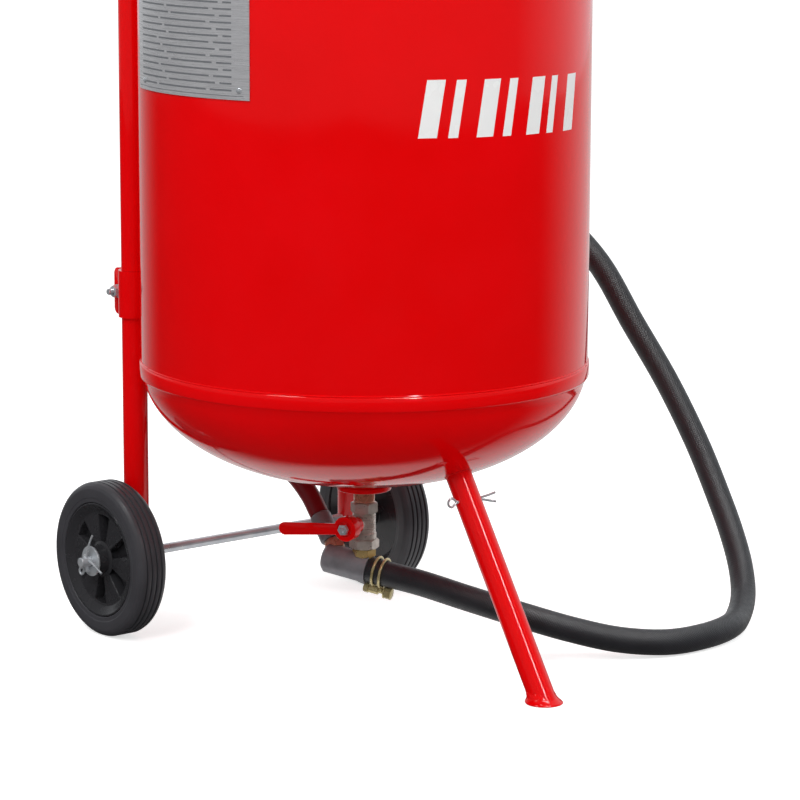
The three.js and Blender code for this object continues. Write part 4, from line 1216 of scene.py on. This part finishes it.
def floor():
    """Pale to the eye. A reflection sees it lit behind the object and dark in front of it."""
    reach = 9.0
    corners = [(-reach, -reach, 0), (reach, -reach, 0), (reach, reach, 0), (-reach, reach, 0)]
    mesh = bpy.data.meshes.new("studio_floor")
    mesh.from_pydata(corners, [], [(0, 1, 2, 3)])
    made = added("studio_floor", mesh)
    made.location.z = -0.0003
    material = bpy.data.materials.new("studio_floor")
    nodes = Nodes(material)
    seen = nodes.tree.nodes["Principled BSDF"]
    for socket, value in {
        "Roughness": 0.9, "Specular IOR Level": 0.0, "Base Color": (0.9, 0.9, 0.9, 1),
        "Emission Color": (1, 1, 1, 1), "Emission Strength": 0.62,
    }.items():
        nodes.feed(seen.inputs[socket], value)
    soft = nodes.node("BsdfDiffuse", {"Color": (0.45, 0.45, 0.45, 1)})
    by_ray(nodes, soft, mirrored_floor(nodes), seen.outputs["BSDF"], "Material Output")
    mesh.materials.append(material)


def softbox(name, place, target, width, height, power, mirrored=True, lighting=True):
    data = bpy.data.lights.new(name, "AREA")
    data.shape = "RECTANGLE"
    data.size, data.size_y, data.energy = width, height, power
    made = added(name, data)
    away = Vector(place) - Vector(target)
    made.matrix_world = Matrix.Translation(Vector(place)) @ away.to_track_quat("Z", "Y").to_matrix().to_4x4()
    made.visible_camera = False
    made.visible_glossy, made.visible_diffuse = mirrored, lighting


def world():
    """White to the eye and for soft light; for reflections, brightest behind the object."""
    made = bpy.data.worlds.new("studio")
    bpy.context.scene.world = made
    nodes = Nodes(made)
    soft = nodes.tree.nodes["Background"]
    nodes.feed(soft.inputs["Color"], (1, 1, 1, 1))
    nodes.feed(soft.inputs["Strength"], 0.62)
    way = nodes.node("TexCoord", out="Generated")
    behind = nodes.node("VectorMath", {0: way, 1: BEHIND}, "Value", operation="DOT_PRODUCT")
    ends = {"From Min": 0.1, "From Max": 0.85, "To Min": 0.16, "To Max": 0.9}
    level = nodes.node("MapRange", {"Value": behind, **ends})
    mirrored = nodes.node("Background", {"Color": (0.93, 0.97, 1, 1), "Strength": level})
    seen = nodes.node("Background", {"Color": (1, 1, 1, 1), "Strength": 1.08})
    by_ray(nodes, soft.outputs["Background"], mirrored, seen, "World Output")


def studio():
    floor()
    world()
    target = (0, 0, 0.35)
    softbox("key", (-2.4, -1.5, 2.2), target, 0.8, 1.2, 37, mirrored=False)
    softbox("fill", (1.5, -2.6, 2.0), target, 0.9, 1.2, 34, mirrored=False)
    softbox("strip", (-0.44, -2.5, 2.8), (0, -0.2, 0.1), 0.17, 1.5, 34, lighting=False)
    softbox("overhead", (0.3, -0.9, 2.6), (0.2, -0.1, 0), 1.5, 0.6, 26, lighting=False)
    softbox("top", (-1.5, 0.05, 2.3), (-0.15, 0.18, 0.07), 0.6, 0.5, 12)
    bpy.context.scene.view_settings.view_transform = "Standard"


for make in (
    camera, hoses, tank, marking, data_plate, filler, outlet, media_valve, mixing_chamber, running_gear,
    front_leg, uprights, handle, air_inlet, studio,
):
    make()
